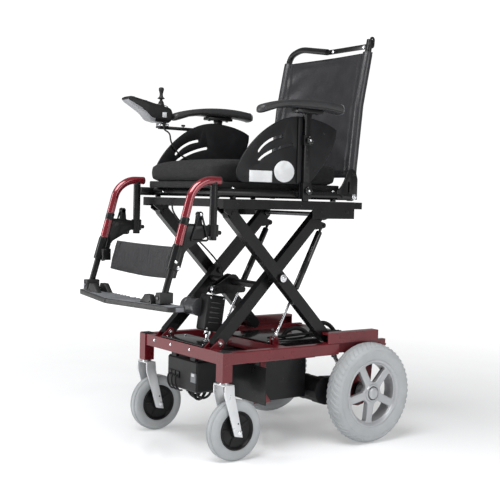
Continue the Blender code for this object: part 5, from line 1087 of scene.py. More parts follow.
def make_footplate(name, s, end):
    """Moulded plate with its tread, anti-slip bars, hinge ramps and end cap."""
    front, rear, top = FOOT_FRONT, FOOT_REAR, FOOT_TOP
    outline = [(s * 0.0008, front), (s * 0.298, front + 0.058), (s * 0.310, front + 0.070),
               (s * 0.310, rear + 0.012), (s * 0.300, rear + 0.018), (s * 0.0008, rear)]
    inner = [(s * 0.0040, front + 0.0040), (s * 0.296, front + 0.0625), (s * 0.3055, front + 0.072),
             (s * 0.3055, rear + 0.009), (s * 0.298, rear + 0.0135), (s * 0.0040, rear - 0.0040)]
    ramp = [(s * (FOOT_PIN_X - 0.062), top - 0.001), (s * (FOOT_PIN_X - 0.030), top + 0.029),
            (s * (FOOT_PIN_X - 0.001), top + 0.029), (s * (FOOT_PIN_X + 0.009), HINGE_Z + 0.001),
            (s * (FOOT_PIN_X + 0.009), top - 0.001)]
    foot = Piece("footplate_looks_" + name)
    foot.add(plate(closed_round(outline, 0.007, 4), "z", (top - 0.017, top - 0.0004), 0.0028, 3), "shoe")
    foot.add(plate(closed_round(inner, 0.006, 4), "z", (top - 0.0030, top + 0.0002), 0.0006), "tread")
    for k in range(13):
        x = s * (0.022 + 0.0225 * k)
        if abs(abs(x) - 0.226) >= 0.040:
            start = front + 0.006 + 0.195 * abs(x)
            foot.add(block((x - 0.0011, x + 0.0011), (start + 0.004, rear + 0.004),
                           (top - 0.001, top + 0.001), 0.0004), "tread")
    for y in (end.y - 0.021, end.y + 0.021):
        foot.add(plate(closed_round(ramp, 0.003), "y", (y - 0.0085, y + 0.0085), 0.0012), "shoe")
    foot.add(block(pair(s, 0.3085, 0.3125), (front + 0.078, rear + 0.006), (top - 0.0155, top - 0.002)),
             "grey")
    foot.done("footplate_" + name, ["footplate_" + name])


def make_legs():
    end = JOIN + DOWN * ((JOIN.z - HINGE_Z - 0.022) / cos(LEAN))
    for name, s in SIDES:
        make_leg(name, s, end)
        make_footplate(name, s, end)


make_hangers()
make_straps()
make_legs()

# Seat, back and armrests
BOARD_TOP = SEAT_Z + 0.036
PANEL_X, PANEL_LOW, PANEL_TOP = 0.2555, SEAT_Z + 0.0354, SEAT_Z + 0.2604
PANEL_FACE = PANEL_X + 0.004
POST_IN = PANEL_X + 0.0055
ARM_POST_Y = -0.295
PAD_CREST = SEAT_Z + 0.3204
PAD_FRONT, PAD_REAR, PAD_HALF = -0.4995, -0.1425, 0.0275
RECLINE = (-0.058, SEAT_Z - 0.0016)
KNEE = (-0.030, SEAT_Z + 0.3224)
SLING_LOW, SLING_TOP = SEAT_Z + 0.0654, SEAT_Z + 0.5104
SLING_HEM = 0.885
CANE_TOP = (0.015, SLING_TOP + 0.045)
CANE_X, CANE_R = 0.225, 0.0115
CONTROL_X, CONTROL_Z = 0.281, SEAT_Z + 0.2334
STICK_Y, POD_TOP = -0.537, SEAT_Z + 0.3084
SIDE_TUBE_X = 0.235
CUSHION_WIDE, CUSHION_DEEP, CUSHION_TALL, CUSHION_FRONT = 0.436, 0.519, 0.066, -0.624
PANEL_SLOTS = (((-0.486, SEAT_Z + 0.138), (-0.392, SEAT_Z + 0.191), 0.026),
               ((-0.486, SEAT_Z + 0.106), (-0.352, SEAT_Z + 0.166), 0.026))


def swell(ob, pressure, cap, voxel, frames=20):
    """Lets air pressure puff a closed cloth form, and holds each point within the cap."""
    looks = list(ob.data.materials)
    remesh = ob.modifiers.new("even_mesh", "REMESH")
    remesh.mode = "VOXEL"
    remesh.voxel_size = voxel
    ready = evaluated(ob)
    ob.modifiers.clear()
    ob.data = ready
    cloth = ob.modifiers.new("air", "CLOTH")
    cloth.settings.use_pressure = True
    cloth.settings.uniform_pressure_force = pressure
    cloth.settings.quality = 4
    cloth.settings.mass = 0.3
    cloth.settings.tension_stiffness = 12
    cloth.settings.compression_stiffness = 12
    cloth.settings.bending_stiffness = 0.4
    cloth.settings.effector_weights.gravity = 0
    cloth.point_cache.frame_start = 1
    cloth.point_cache.frame_end = frames
    for f in range(1, frames + 1):
        scene.frame_set(f)
    puffed = evaluated(ob)
    for before, after in zip(ready.vertices, puffed.vertices):
        move = after.co - before.co
        if move.length > cap:
            after.co = before.co + move.normalized() * cap
    ob.modifiers.clear()
    ob.data = puffed
    scene.frame_set(1)
    puffed.materials.clear()
    for look in looks:
        puffed.materials.append(look)
    puffed.shade_smooth()
    sub = ob.modifiers.new("finer", "SUBSURF")
    sub.levels = sub.render_levels = 1


def cushion_point(u, w, h):
    """Moves a point of a unit box, with u and w from -1 to 1 and h from 0 to 1, to the cushion's skin."""
    edge = max(abs(u), abs(w))
    on_wall = edge > 0.999
    # Rounded corners in plan
    power = 13.0
    reach = (abs(u) ** power + abs(w) ** power) ** (1 / power)
    if edge > 1e-6:
        u, w = u * edge / reach, w * edge / reach
    bulge = 0.0
    if on_wall:
        bulge = 0.0045 * sin(pi * h) - 0.0030 * (sew(h, 0.14, 0.05) + sew(h, 0.86, 0.05))
    x, y, z = u * CUSHION_WIDE / 2, w * CUSHION_DEEP / 2, h * CUSHION_TALL
    out = Vector((x, y, 0)).normalized() if on_wall else Vector((0, 0, 0))
    x, y = x + out.x * bulge, y + out.y * bulge
    near = max(0.0, (edge - 0.90) / 0.10)
    if h > 0.99:
        z += 0.011 * (1 - u * u) * (1 - w * w) - 0.008 * near ** 2.4
        z += 0.0012 * noise.noise(Vector((x * 9, y * 9, 3)))
    if h < 0.01:
        z += 0.007 * near ** 2.4
    # The front edge rolls down
    if w < 0:
        z -= 0.011 * max(0, -w - 0.72) / 0.28 * h
    return x, y, z


def cushion_shape():
    """Boxed cushion: crowned top, bulged walls and seams drawn in along its upper and lower edges."""
    across, along, up = 40, 46, 10
    bm = bmesh.new()
    bmesh.ops.create_grid(bm, x_segments=across, y_segments=along, size=0.5)
    grown = bmesh.ops.extrude_face_region(bm, geom=bm.faces[:])["geom"]
    bmesh.ops.translate(bm, vec=(0, 0, 1), verts=[g for g in grown if isinstance(g, bmesh.types.BMVert)])
    walls = [e for e in bm.edges if abs(e.verts[0].co.z - e.verts[1].co.z) > 0.5]
    bmesh.ops.subdivide_edges(bm, edges=walls, cuts=up - 1, use_grid_fill=True)
    for v in bm.verts:
        v.co = cushion_point(v.co.x * 2, v.co.y * 2, v.co.z)
    middle = CUSHION_FRONT + CUSHION_DEEP / 2
    bmesh.ops.translate(bm, vec=(0, middle, BOARD_TOP + 0.0012), verts=bm.verts)
    bmesh.ops.recalc_face_normals(bm, faces=bm.faces)
    return bm


def add_seat_tubes(seat):
    """Board, cross tubes and side tubes, with their end caps, stands and bolts."""
    z = SEAT_Z
    seat.add(block((-0.214, 0.214), (-0.618, -0.100), (BOARD_TOP - 0.022, BOARD_TOP), 0.0030, 3), "cloth")
    for y in (-0.584, -0.120):
        seat.add(rod((-SIDE_TUBE_X, y, z), (SIDE_TUBE_X, y, z), 0.0142, sides=32), "black")
    for x in (-0.150, 0.150):
        seat.add(dome((x, -0.5985, z), (0, -1, 0), 0.0048, 0.0028), "bright")
    for s in (1, -1):
        x = s * SIDE_TUBE_X
        seat.add(rod((x, -0.644, z), (x, -0.078, z), 0.0145, sides=32), "black")
        seat.add(rod((x, -0.6455, z), (x, -0.6435, z), 0.0138, sides=32), "rubber")
        for y in (-0.569, -0.145):
            seat.add(rod((x, y, LIFT_TOP + GAP), (x, y, z), 0.010), "black")
            seat.add(bolt_head((x, y, z + 0.0138), (0, 0, 1), 0.0058, 0.0040), "bright")


def add_hanger_socket(seat, s):
    """Tube that the hanger's post turns in, and the bracket of the arm post."""
    tube = [(0.0065, HANGER_LOW), (0.0118, HANGER_LOW), (0.0125, HANGER_LOW + 0.0008),
            (0.0125, HANGER_HIGH - 0.0008), (0.0118, HANGER_HIGH), (0.0065, HANGER_HIGH)]
    seat.add(turned(tube, (s * HANGER_X, POST_Y, 0), (0, 0, 1), 40), "black")
    seat.add(block(pair(s, 0.239, PANEL_X - 0.0045), (ARM_POST_Y - 0.022, ARM_POST_Y + 0.022),
                   (SEAT_Z - 0.008, SEAT_Z + 0.010)), "black")


def add_recline_ear(seat, s):
    """Curved side plate that the back turns on, with its slot, pin and bolts."""
    ear = CANE_X + CANE_R + 0.0067
    face = s * (ear + 0.005)
    y, z = RECLINE
    outline = [(y - 0.078, SEAT_Z - 0.012), (y + 0.014, SEAT_Z - 0.012), (y + 0.014, z + 0.062),
               (y + 0.006, z + 0.086), (y - 0.006, z + 0.096), (y - 0.022, z + 0.096)]
    outline += bezier((y - 0.034, z + 0.088), (y - 0.046, z + 0.056), (y - 0.054, z + 0.034),
                      (y - 0.080, z + 0.020), 8)
    slot = link_outline((y - 0.026, z + 0.016), (y - 0.026, z + 0.050), 0.004, 8)
    seat.add(plate(closed_round(outline, 0.0035), "x", pair(s, ear, ear + 0.005), holes=[slot]), "black")
    seat.add(block(pair(s, 0.231, ear + 0.003), (y - 0.070, y - 0.028), (SEAT_Z - 0.009, SEAT_Z + 0.009)),
             "black")
    seat.add(x_rod((s * (CANE_X - 0.014), s * (ear + 0.004)), RECLINE, 0.0059), "bright")
    seat.add(bolt_head((face, *RECLINE), (s, 0, 0), 0.0075, 0.0060), "bright")
    for dy, dz in ((-0.058, 0.002), (-0.008, 0.080)):
        seat.add(bolt_head((face, y + dy, z + dz), (s, 0, 0), 0.0055, 0.0045), "plastic")


def make_seat():
    seat = Piece("seat_frame_looks")
    add_seat_tubes(seat)
    for s in (1, -1):
        add_hanger_socket(seat, s)
        add_recline_ear(seat, s)
    seat.done("seat", ["seat_frame"])
    cushion = Piece("cushion_looks").add(cushion_shape(), "cloth").done("seat", ["seat_cushion"], angle=75)
    swell(cushion, pressure=4.0, cap=0.0035, voxel=0.005)


def knob(at, axis, radius, tall, lobes=7):
    """A lobed hand knob."""
    outline = []
    steps = lobes * 10
    for i in range(steps):
        t = 2 * pi * i / steps
        r = radius * (0.90 + 0.10 * cos(lobes * t))
        outline.append((r * cos(t), r * sin(t)))
    return aim(plate(outline, "z", (0, tall), min(0.0022, tall * 0.3), 3), at, axis)


def ribbon(middle, half):
    """Closed outline of a round-ended slot along a centre line."""
    left, right = [], []
    for k, p in enumerate(middle):
        a, b = Vector(middle[max(0, k - 1)]), Vector(middle[min(len(middle) - 1, k + 1)])
        side = Vector((-(b - a).y, (b - a).x)).normalized() * half
        left.append((p[0] + side.x, p[1] + side.y))
        right.append((p[0] - side.x, p[1] - side.y))
    ends = []
    for p, q in ((middle[-1], middle[-2]), (middle[0], middle[1])):
        out = atan2(p[1] - q[1], p[0] - q[0])
        turns = [out + pi / 2 - pi * k / 8 for k in range(1, 8)]
        ends.append([(p[0] + half * cos(t), p[1] + half * sin(t)) for t in turns])
    return left + ends[0] + right[::-1] + ends[1]


def panel_outline():
    """Side panel: low front corner, long rising front, crest, hollow back and the foot of the post."""
    low, top, foot = PANEL_LOW, PANEL_TOP, SEAT_Z - 0.012
    front = bezier((-0.573, low + 0.036), (-0.565, low + 0.086), (-0.462, top - 0.011), (-0.330, top), 34)
    crest = bezier((-0.330, top), (-0.270, top + 0.001), (-0.200, top - 0.012), (-0.163, top - 0.033), 14)[1:]
    back = bezier((-0.158, top - 0.036), (-0.152, top - 0.096), (-0.218, low + 0.060),
                  (ARM_POST_Y + 0.020, low), 20)
    corner_line = bezier((-0.536, low), (-0.562, low), (-0.5725, low + 0.012), (-0.573, low + 0.034), 8)[:-1]
    stem = [(ARM_POST_Y + 0.020, foot), (ARM_POST_Y - 0.020, foot), (ARM_POST_Y - 0.020, low)]
    return front + crest + back + stem + corner_line


def add_post_channels(panel, s):
    """Two channels that hold the arm post, each with its hand knob."""
    stem = POST_IN + 0.015
    for low, high in ((SEAT_Z - 0.012, SEAT_Z + 0.040), (PANEL_TOP - 0.095, PANEL_TOP - 0.062)):
        for y in ((ARM_POST_Y - 0.018, ARM_POST_Y - 0.0127), (ARM_POST_Y + 0.0127, ARM_POST_Y + 0.018)):
            panel.add(block(pair(s, PANEL_FACE - 0.001, stem), y, (low, high), 0.0014), "plastic")
        panel.add(block(pair(s, POST_IN + 0.0107, POST_IN + 0.0152), (ARM_POST_Y - 0.018, ARM_POST_Y + 0.018),
                        (low, high), 0.0014), "plastic")
        z = (low + high) / 2
        panel.add(x_rod((s * (stem - 0.001), s * (stem + 0.006)), (ARM_POST_Y, z), 0.0048), "bright")
        panel.add(knob((s * (stem + 0.0045), ARM_POST_Y, z), (s, 0, 0), 0.0150, 0.0085), "gloss")
        panel.add(dome((s * (stem + 0.0130), ARM_POST_Y, z), (s, 0, 0), 0.0040, 0.0012), "bright")


def add_blank_plates(panel):
    """A bare oval disc and a bare oblong plate on the left panel."""
    turns = [2 * pi * k / 64 for k in range(64)]
    oval = [(-0.382 + 0.042 * cos(t), PANEL_LOW + 0.040 + 0.0355 * sin(t)) for t in turns]
    panel.add(plate(oval, "x", (PANEL_FACE, PANEL_FACE + 0.0013), 0.0005), "white")
    panel.add(block((PANEL_FACE - 0.0002, PANEL_FACE + 0.0010), (-0.524, -0.432),
                    (PANEL_LOW + 0.003, PANEL_LOW + 0.040), 0.0006), "white")


def make_side_panels():
    for name, s in SIDES:
        slots = []
        for (y0, z0), (y1, z1), rise in PANEL_SLOTS:
            middle = bezier((y0, z0), (y0 + 0.018, z0 + rise), (y1 - 0.040, z1 - 0.006), (y1, z1), 16)
            slots.append(ribbon(middle, 0.0046))
        panel = Piece("side_panel_looks_" + name)
        thick = pair(s, PANEL_X - 0.004, PANEL_FACE)
        panel.add(plate(panel_outline(), "x", thick, 0.0022, 3, slots), "panel")
        add_post_channels(panel, s)
        for y, z in ((-0.545, PANEL_LOW + 0.016), (-0.215, PANEL_TOP - 0.050), (-0.250, PANEL_LOW + 0.050)):
            panel.add(dome((s * PANEL_FACE, y, z), (s, 0, 0), 0.0046, 0.0022), "plastic")
        if s > 0:
            add_blank_plates(panel)
        rib = (ARM_POST_Y - 0.036, ARM_POST_Y - 0.0185)
        panel.add(block(pair(s, PANEL_FACE - 0.001, POST_IN + 0.004), rib,
                        (PANEL_LOW + 0.002, PANEL_TOP - 0.004), 0.0016), "panel")
        panel.done("seat", ["side_panel_" + name])


def cane_line(z):
    """How far back the canes stand at a height."""
    if z < KNEE[1]:
        share = (z - RECLINE[1] - 0.080) / (KNEE[1] - RECLINE[1] - 0.080)
        return RECLINE[0] + 0.004 + (KNEE[0] - RECLINE[0] - 0.004) * share
    return KNEE[0] + (CANE_TOP[0] - KNEE[0]) * (z - KNEE[1]) / (CANE_TOP[1] - KNEE[1])


def sling_depth(u, v):
    """How far behind the canes the back hangs, u across from -1 to 1 and v of the way up."""
    return 0.020 * (1 - u * u) * (0.6 + 0.4 * sin(pi * v))


def sling_shape():
    """Stretched back: padded panel with stitched borders, a stitched middle pair and tension folds."""
    rows, columns = 80, 64
    bm = bmesh.new()
    layers = []
    for side in (-1, 1):
        grid = []
        for i in range(rows + 1):
            v = i / rows
            z = SLING_LOW + (SLING_TOP - SLING_LOW) * v
            line = []
            for k in range(columns + 1):
                u = 2 * k / columns - 1
                a = abs(u)
                stitch = sew(a, SLING_HEM, 0.018) + 0.7 * sew(v, 0.965, 0.012) + 0.7 * sew(v, 0.035, 0.012)
                rim = min(1.0, 18 * min(v, 1 - v) + 0.35)
                half = 0.0080 * rim ** 0.5 * (1 - 0.42 * min(1.0, stitch)) * (1 - 0.25 * a ** 6)
                pull = 0.0016 * sin(11 * pi * (v + 0.18 * a)) * a ** 5 * (1 - a) * 14
                soft = 0.0022 * noise.noise(Vector((u * 1.6, v * 2.4, 5))) * (1 - a ** 4)
                y = cane_line(z) + sling_depth(u, v) + side * half + pull + soft
                line.append(bm.verts.new((u * (CANE_X - 0.003), y, z)))
            grid.append(line)
        layers.append(grid)
    return close_sheets(bm, *layers)


def add_flat_bar(cane):
    """Flat bar from the left cane's top to the middle, with its bolts and a drilled tab on the cane."""
    y, bar_z = CANE_TOP[0], CANE_TOP[1] - 0.022
    cane.add(block((0.0, CANE_X), (y - 0.005, y + 0.001), (bar_z - 0.009, bar_z + 0.009), 0.0016), "black")
    for x in (0.008, 0.030, 0.196):
        cane.add(bolt_head((x, y - 0.005, bar_z), (0, -1, 0), 0.0048, 0.0036), "bright")
    cane.add(rod((0.008, y - 0.004, bar_z), (0.008, y + 0.010, bar_z), 0.0058), "bright")
    tab = link_outline((y - 0.0004, CANE_TOP[1] - 0.020), (y + 0.0012, CANE_TOP[1] - 0.001), 0.0112, 14)
    hole = arc((y + 0.0010, CANE_TOP[1] - 0.002), 0.0042, 0, 345, 23)
    cane.add(plate(tab, "x", (CANE_X + CANE_R - 0.003, CANE_X + CANE_R + 0.0008), holes=[hole]), "black")


def make_canes():
    shared = [(RECLINE[0] + 0.001, RECLINE[1] + 0.008), (RECLINE[0] + 0.004, RECLINE[1] + 0.080), KNEE]
    bend_z = CANE_TOP[1] - 0.014
    ends = {"left": [(CANE_X, *CANE_TOP)],
            "right": [(-CANE_X, cane_line(bend_z), bend_z),
                      (-CANE_X + 0.075, CANE_TOP[0] - 0.008, CANE_TOP[1] + 0.004),
                      (0.018, CANE_TOP[0] - 0.020, CANE_TOP[1] - 0.024)]}
    for name, s in SIDES:
        route = [(s * CANE_X, *p) for p in shared] + ends[name]
        inside, outside = CANE_X - CANE_R + 0.0005, CANE_X + CANE_R
        cane = Piece("cane_looks_" + name)
        cane.add(pipe(rounded_route(route, 0.034, 12), CANE_R, 36), "black")
        cane.add(x_rod((s * inside, s * (outside - 0.0005)), RECLINE, 0.0150), "black")
        cane.add(x_rod((s * (outside - 0.002), s * (outside + 0.0015)), RECLINE, 0.0110), "bright")
        if s > 0:
            add_flat_bar(cane)
        cane.done("backrest", ["back_cane_" + name])


def add_sleeve(sling, s):
    """Cloth sleeve round a cane, its turned ends and the row of stitches beside it."""
    steps, stitches = 40, 43
    tall = SLING_TOP - SLING_LOW
    hem = [(0.0128, -0.0012), (0.0172, -0.0012), (0.0176, 0), (0.0172, 0.0012), (0.0128, 0.0012)]
    route = []
    for i in range(steps + 1):
        z = SLING_LOW + 0.001 + (tall - 0.002) * i / steps
        route.append((s * CANE_X, cane_line(z), z))

    def thickness(t):
        drawn_in = 1 - 0.05 * (t < 0.012 or t > 0.988)
        return 0.0172 * drawn_in + 0.00045 * noise.noise(Vector((t * 14, s, 0)))

    sling.add(pipe(route, thickness, 28, (1.0, 1.02)), "vinyl")
    for end in (0, -1):
        sling.add(turned(hem, Vector(route[end]), (0, 0.05, 1), 32), "vinyl")
    for i in range(stitches + 1):
        z = SLING_LOW + 0.012 + (tall - 0.024) * i / stitches
        x = s * SLING_HEM * (CANE_X - 0.003)
        y = cane_line(z) + sling_depth(SLING_HEM, i / stitches) - 0.0046
        sling.add(rod((x, y, z - 0.0030), (x, y, z + 0.0030), 0.00055, sides=8, soft=0), "thread")


def make_back():
    make_canes()
    sling = Piece("upholstery_looks").add(sling_shape(), "vinyl")
    for s in (1, -1):
        add_sleeve(sling, s)
    sling.done("backrest", ["back_upholstery"], angle=70)


def section(y, low, high, half, count, power, x):
    """A ring between an oval and a rectangle; a higher power is squarer."""
    ring = []
    for k in range(count):
        t = 2 * pi * k / count
        c, d = cos(t), sin(t)
        ring.append((x + half * abs(c) ** (2 / power) * (1 if c > 0 else -1), y,
                     (low + high) / 2 + (high - low) / 2 * abs(d) ** (2 / power) * (1 if d > 0 else -1)))
    return ring


def loft(rings):
    """A closed skin over rings of points."""
    bm = bmesh.new()
    made = [[bm.verts.new(p) for p in ring] for ring in rings]
    for a, b in zip(made, made[1:]):
        for k in range(len(a)):
            bm.faces.new((a[k], a[(k + 1) % len(a)], b[(k + 1) % len(a)], b[k]))
    bm.faces.new(made[0][::-1])
    bm.faces.new(made[-1])
    bmesh.ops.recalc_face_normals(bm, faces=bm.faces)
    return bm


def between(points, y):
    """The height at y on a line through (y, height) points."""
    for (a, p), (b, q) in zip(points, points[1:]):
        if a <= y <= b:
            return p + (q - p) * (y - a) / (b - a)
    return points[0][1] if y < points[0][0] else points[-1][1]


def pad_lines():
    """Lower and upper lines of an arm pad, seen from the side."""
    c, under = PAD_CREST, PAD_CREST - 0.036
    top = bezier((-0.142, c - 0.013), (-0.205, c + 0.004), (-0.375, c + 0.008), (-0.500, c - 0.036), 40)
    low = [(-0.500, under - 0.028), (-0.470, under - 0.019), (-0.430, under - 0.006), (-0.390, under),
           (-0.236, under), (-0.192, under - 0.003), (-0.142, under - 0.010)]
    return low, sorted(top)


def pad_half(y):
    """Half the pad's width, which narrows towards its front."""
    return PAD_HALF * (0.80 + 0.20 * min(1.0, (y + 0.500) / 0.10))


def make_arm_pad(name, s, middle):
    low, top = pad_lines()
    corners, power, steps = 40, 2.7, 72
    pad = Piece("arm_pad_looks_" + name)
    rings = []
    for i in range(steps + 1):
        t = i / steps
        y = PAD_FRONT + 0.357 * (0.5 - 0.5 * cos(pi * t))
        nearest = min(y - PAD_FRONT, PAD_REAR - y)
        end = min(1.0, max(0.0, nearest) / 0.015)
        round_off = sqrt(max(0.0, 1 - (1 - end) ** 2)) * 0.90 + 0.10
        a, b = between(low, y), between(top, y)
        mid = (a + b) / 2
        rings.append(section(y, mid + (a - mid) * round_off, mid + (b - mid) * round_off,
                             pad_half(y) * round_off, corners, power, s * middle))
    pad.add(loft(rings), "pad")
    # Pale piping round the rear end
    y = -0.1570
    loop = section(y, between(low, y) - 0.0002, between(top, y) + 0.0002, 0.0276, corners, power, s * middle)
    pad.add(pipe(loop + loop[:2], 0.0009, 8), "grey")
    # Seam round the pad's underside edge
    for side in (-1, 1):
        line = []
        for i in range(41):
            y = -0.490 + 0.338 * i / 40
            a, b = between(low, y), between(top, y)
            line.append((s * middle + side * (pad_half(y) * 0.925), y, a + (b - a) * 0.20))
        pad.add(pipe(line, 0.0010, 8), "rubber")
    pad.done("armrest_" + name, ["arm_pad_" + name], angle=60)


def add_controller_holder(post, s):
    """Square sleeve beside the right post, with its knob, that the controller's arm slides in."""
    z = CONTROL_Z
    along, tall = (ARM_POST_Y - 0.035, ARM_POST_Y + 0.035), (z - 0.012, z + 0.012)
    for low, high in ((z - 0.012, z - 0.0064), (z + 0.0064, z + 0.012)):
        post.add(block(pair(s, POST_IN + 0.009, CONTROL_X + 0.011), along, (low, high)), "black")
    post.add(block(pair(s, CONTROL_X + 0.0066, CONTROL_X + 0.011), along, tall), "black")
    post.add(block(pair(s, POST_IN + 0.0095, CONTROL_X - 0.0066), along, tall, 0.0008), "black")
    post.add(knob((s * CONTROL_X, ARM_POST_Y - 0.018, z + 0.0115), (0, 0, 1), 0.0085, 0.012, 5), "gloss")


def make_arm_post(name, s, middle):
    """Post, shelf under the pad, neck between them, bolts and a row of height holes."""
    c, y = PAD_CREST, ARM_POST_Y
    neck = [(y - 0.012, c - 0.075), (y + 0.012, c - 0.075), (y + 0.020, c - 0.047), (y - 0.020, c - 0.047)]
    post = Piece("arm_post_looks_" + name)
    post.add(block(pair(s, POST_IN, POST_IN + 0.010), (y - 0.012, y + 0.012),
                   (SEAT_Z - 0.020, c - 0.046), 0.0016), "black")
    post.add(block(pair(s, middle - 0.018, middle + 0.018), (y - 0.055, y + 0.055),
                   (c - 0.048, c - 0.0363), 0.0018), "black")
    post.add(plate(closed_round(neck, 0.006, 4), "x", pair(s, POST_IN + 0.001, POST_IN + 0.009)), "black")
    for dy in (-0.040, 0.040):
        at = (s * middle, y + dy)
        post.add(rod((*at, c - 0.051), (*at, c - 0.0475), 0.0046, sides=24), "plastic")
    # The height holes are black discs on the post's face: painted shade in place of bored holes.
    for k in range(6):
        z = PANEL_TOP - 0.210 + 0.020 * k
        post.add(x_rod((s * (POST_IN + 0.0096), s * (POST_IN + 0.0102)), (y, z), 0.0030), "rubber")
    if s < 0:
        add_controller_holder(post, s)
    post.done("armrest_" + name, ["arm_post_" + name])


def make_armrests():
    for name, s in SIDES:
        make_arm_pad(name, s, POST_IN + 0.005)
        make_arm_post(name, s, POST_IN + 0.005)


make_seat()
make_side_panels()
make_back()
make_armrests()

# Controller
CABLE_R = 0.003
POD_BASE = POD_TOP - 0.060
POD_FRONT, POD_LONG, POD_HALF = STICK_Y - 0.149, 0.1835, 0.0318
STICK_X = -CONTROL_X
STICK_PIVOT = Vector((STICK_X, STICK_Y, POD_TOP - 0.006))
BUTTON_UP = Vector((0, 0.021, 0.114)).normalized()
BUTTON_AT = Vector((STICK_X, STICK_Y - 0.098, POD_TOP + 0.0225))
GLAND = (STICK_X + 0.018, STICK_Y + 0.004)


def lead(name, points, body, node):
    """A round cable from point to point, whose ends both go into the object."""
    ob = Piece(name).add(pipe(points, CABLE_R, 16), "rubber").done(body, [node])


def pod_lines():
    """Lower and upper lines of the controller's housing, seen from the side."""
    y, top, base = STICK_Y, POD_TOP, POD_BASE
    low = [(y - 0.148, top + 0.010), (y - 0.110, top - 0.012), (y - 0.078, top - 0.031),
           (y - 0.056, base + 0.006), (y - 0.030, base + 0.0005), (y + 0.020, base + 0.0005),
           (y + 0.034, base + 0.008)]
    high = [(y - 0.146, top + 0.026), (y - 0.132, top + 0.0285), (y - 0.080, top + 0.0185),
            (y - 0.024, top + 0.007), (y + 0.018, top - 0.001), (y + 0.028, top - 0.005),
            (y + 0.034, top - 0.015)]
    return low, high


def make_pod():
    """Housing with its wells for the joystick and the button, and a paler underside."""
    low, high = pod_lines()
    steps = 48
    rings = []
    for i in range(steps + 1):
        y = POD_FRONT + POD_LONG * (0.5 - 0.5 * cos(pi * i / steps))
        end = min(1.0, min(y - POD_FRONT, STICK_Y + 0.0345 - y) / 0.012)
        soft = 0.35 + 0.65 * sqrt(max(0.0, 1 - (1 - end) ** 2))
        a, b = between(low, y), between(high, y)
        half = POD_HALF * (0.84 + 0.16 * min(1.0, (y - POD_FRONT) / 0.080)) * (0.8 + 0.2 * soft)
        middle, rise = (a + b) / 2, (b - a) / 2 * soft
        rings.append(section(y, middle - rise, middle + rise, half, 48, 4.5, STICK_X))
    shell = Piece("controller_pod").add(loft(rings), "plastic")
    pod = shell.done("controller", ["controller_housing"], angle=30)
    carve(pod, rod((STICK_X, STICK_Y, POD_TOP - 0.018), (STICK_X, STICK_Y, POD_TOP + 0.03), 0.0236, sides=64,
                   soft=0))
    carve(pod, rod(BUTTON_AT - BUTTON_UP * 0.012, BUTTON_AT + BUTTON_UP * 0.01, 0.0086, sides=40, soft=0))
    pod.data.materials.append(M["pod_under"])
    for face in pod.data.polygons:
        nose = face.normal.z < -0.25 and face.center.y - AXLE_Y < STICK_Y - 0.040
        base = face.center.z < POD_TOP - 0.040 and abs(face.normal.x) < 0.4
        if nose or base:
            face.material_index = len(pod.data.materials) - 1


def make_pod_trim():
    """Ring round the joystick, four small buttons, a blank plate and the cable's boot."""
    x, high = STICK_X, pod_lines()[1]
    rim = [(0.0226, 0.0000), (0.0240, 0.0016), (0.0262, 0.0016), (0.0270, 0.0000)]
    boot = [(0.0036, -0.0100), (0.0052, -0.0100), (0.0060, -0.0070), (0.0056, -0.0062), (0.0066, -0.0030),
            (0.0062, -0.0022), (0.0070, 0.0020), (0.0036, 0.0020)]
    tilt = Vector((0, 0.011, 0.060)).normalized()
    trim = Piece("controller_trim")
    trim.add(turned(rim, (x, STICK_Y, POD_TOP + 0.0028), tilt, 48), "gloss")
    for dx, dy in ((-0.016, -0.072), (0.016, -0.072), (-0.013, -0.120), (0.013, -0.120)):
        y = STICK_Y + dy
        at = Vector((x + dx, y, between(high, y) - 0.0012))
        trim.add(rod(at, at + BUTTON_UP * 0.0022, 0.0042, 0.0036, sides=24), "grey")
    trim.add(block((x + 0.0310, x + POD_HALF), (STICK_Y - 0.012, STICK_Y + 0.006),
                   (POD_TOP - 0.040, POD_TOP - 0.022), 0.0003), "pale")
    trim.add(turned(boot, (*GLAND, POD_BASE), (0, 0, 1), 32), "rubber")
    trim.done("controller")


def make_button():
    cap = [(0, 0.0018), (0.0050, 0.0016), (0.0064, 0.0004), (0.0072, -0.0030), (0.0072, -0.0042),
           (0, -0.0042)]
    button = Piece("power_button_cap")
    button.add(turned(smooth_profile(cap, 3), BUTTON_AT, BUTTON_UP, 40, ring=False), "grey")
    button.done("power_button", ["power_button"])


def make_joystick():
    """Gimbal ring and the stick with its ribbed boot, each with two pins."""
    ring = Piece("gimbal_ring")
    ring.add(turned(band(0.0193, 0.0220, -0.0019, 0.0019), STICK_PIVOT, (0, 0, 1), 48), "plastic")
    for s in (-1, 1):
        pin = (STICK_X + s * 0.0215, STICK_X + s * 0.0230)
        ring.add(x_rod(pin, STICK_PIVOT.yz, 0.0013, sides=16), "bright")
    ring.done("joystick_gimbal", ["joystick_ring"])
    skirt = [(0, -0.0085), (0.0095, -0.0085), (0.0163, -0.0020), (0.0168, 0.0005)]
    ribs = [(0.0140, 0.0025), (0.0156, 0.0052), (0.0124, 0.0078), (0.0140, 0.0108), (0.0106, 0.0138),
            (0.0124, 0.0168), (0.0088, 0.0200), (0.0106, 0.0228), (0.0066, 0.0262)]
    grip = [(0.0046, 0.0310), (0.0052, 0.0330), (0.0132, 0.0346), (0.0138, 0.0372), (0.0090, 0.0400),
            (0.0064, 0.0440), (0.0058, 0.0540), (0.0086, 0.0625), (0.0098, 0.0690), (0.0090, 0.0740),
            (0.0052, 0.0765), (0, 0.0770)]
    shape = turned(smooth_profile(skirt + ribs + grip, 4), STICK_PIVOT, (0, 0, 1), 48, ring=False)
    stick = Piece("joystick_grip").add(shape, "rubber")
    for s in (-1, 1):
        near, far = Vector((0, s * 0.012, 0)), Vector((0, s * 0.0186, 0))
        stick.add(rod(STICK_PIVOT + near, STICK_PIVOT + far, 0.0013, sides=12), "bright")
    stick.done("joystick", ["joystick_stick"])


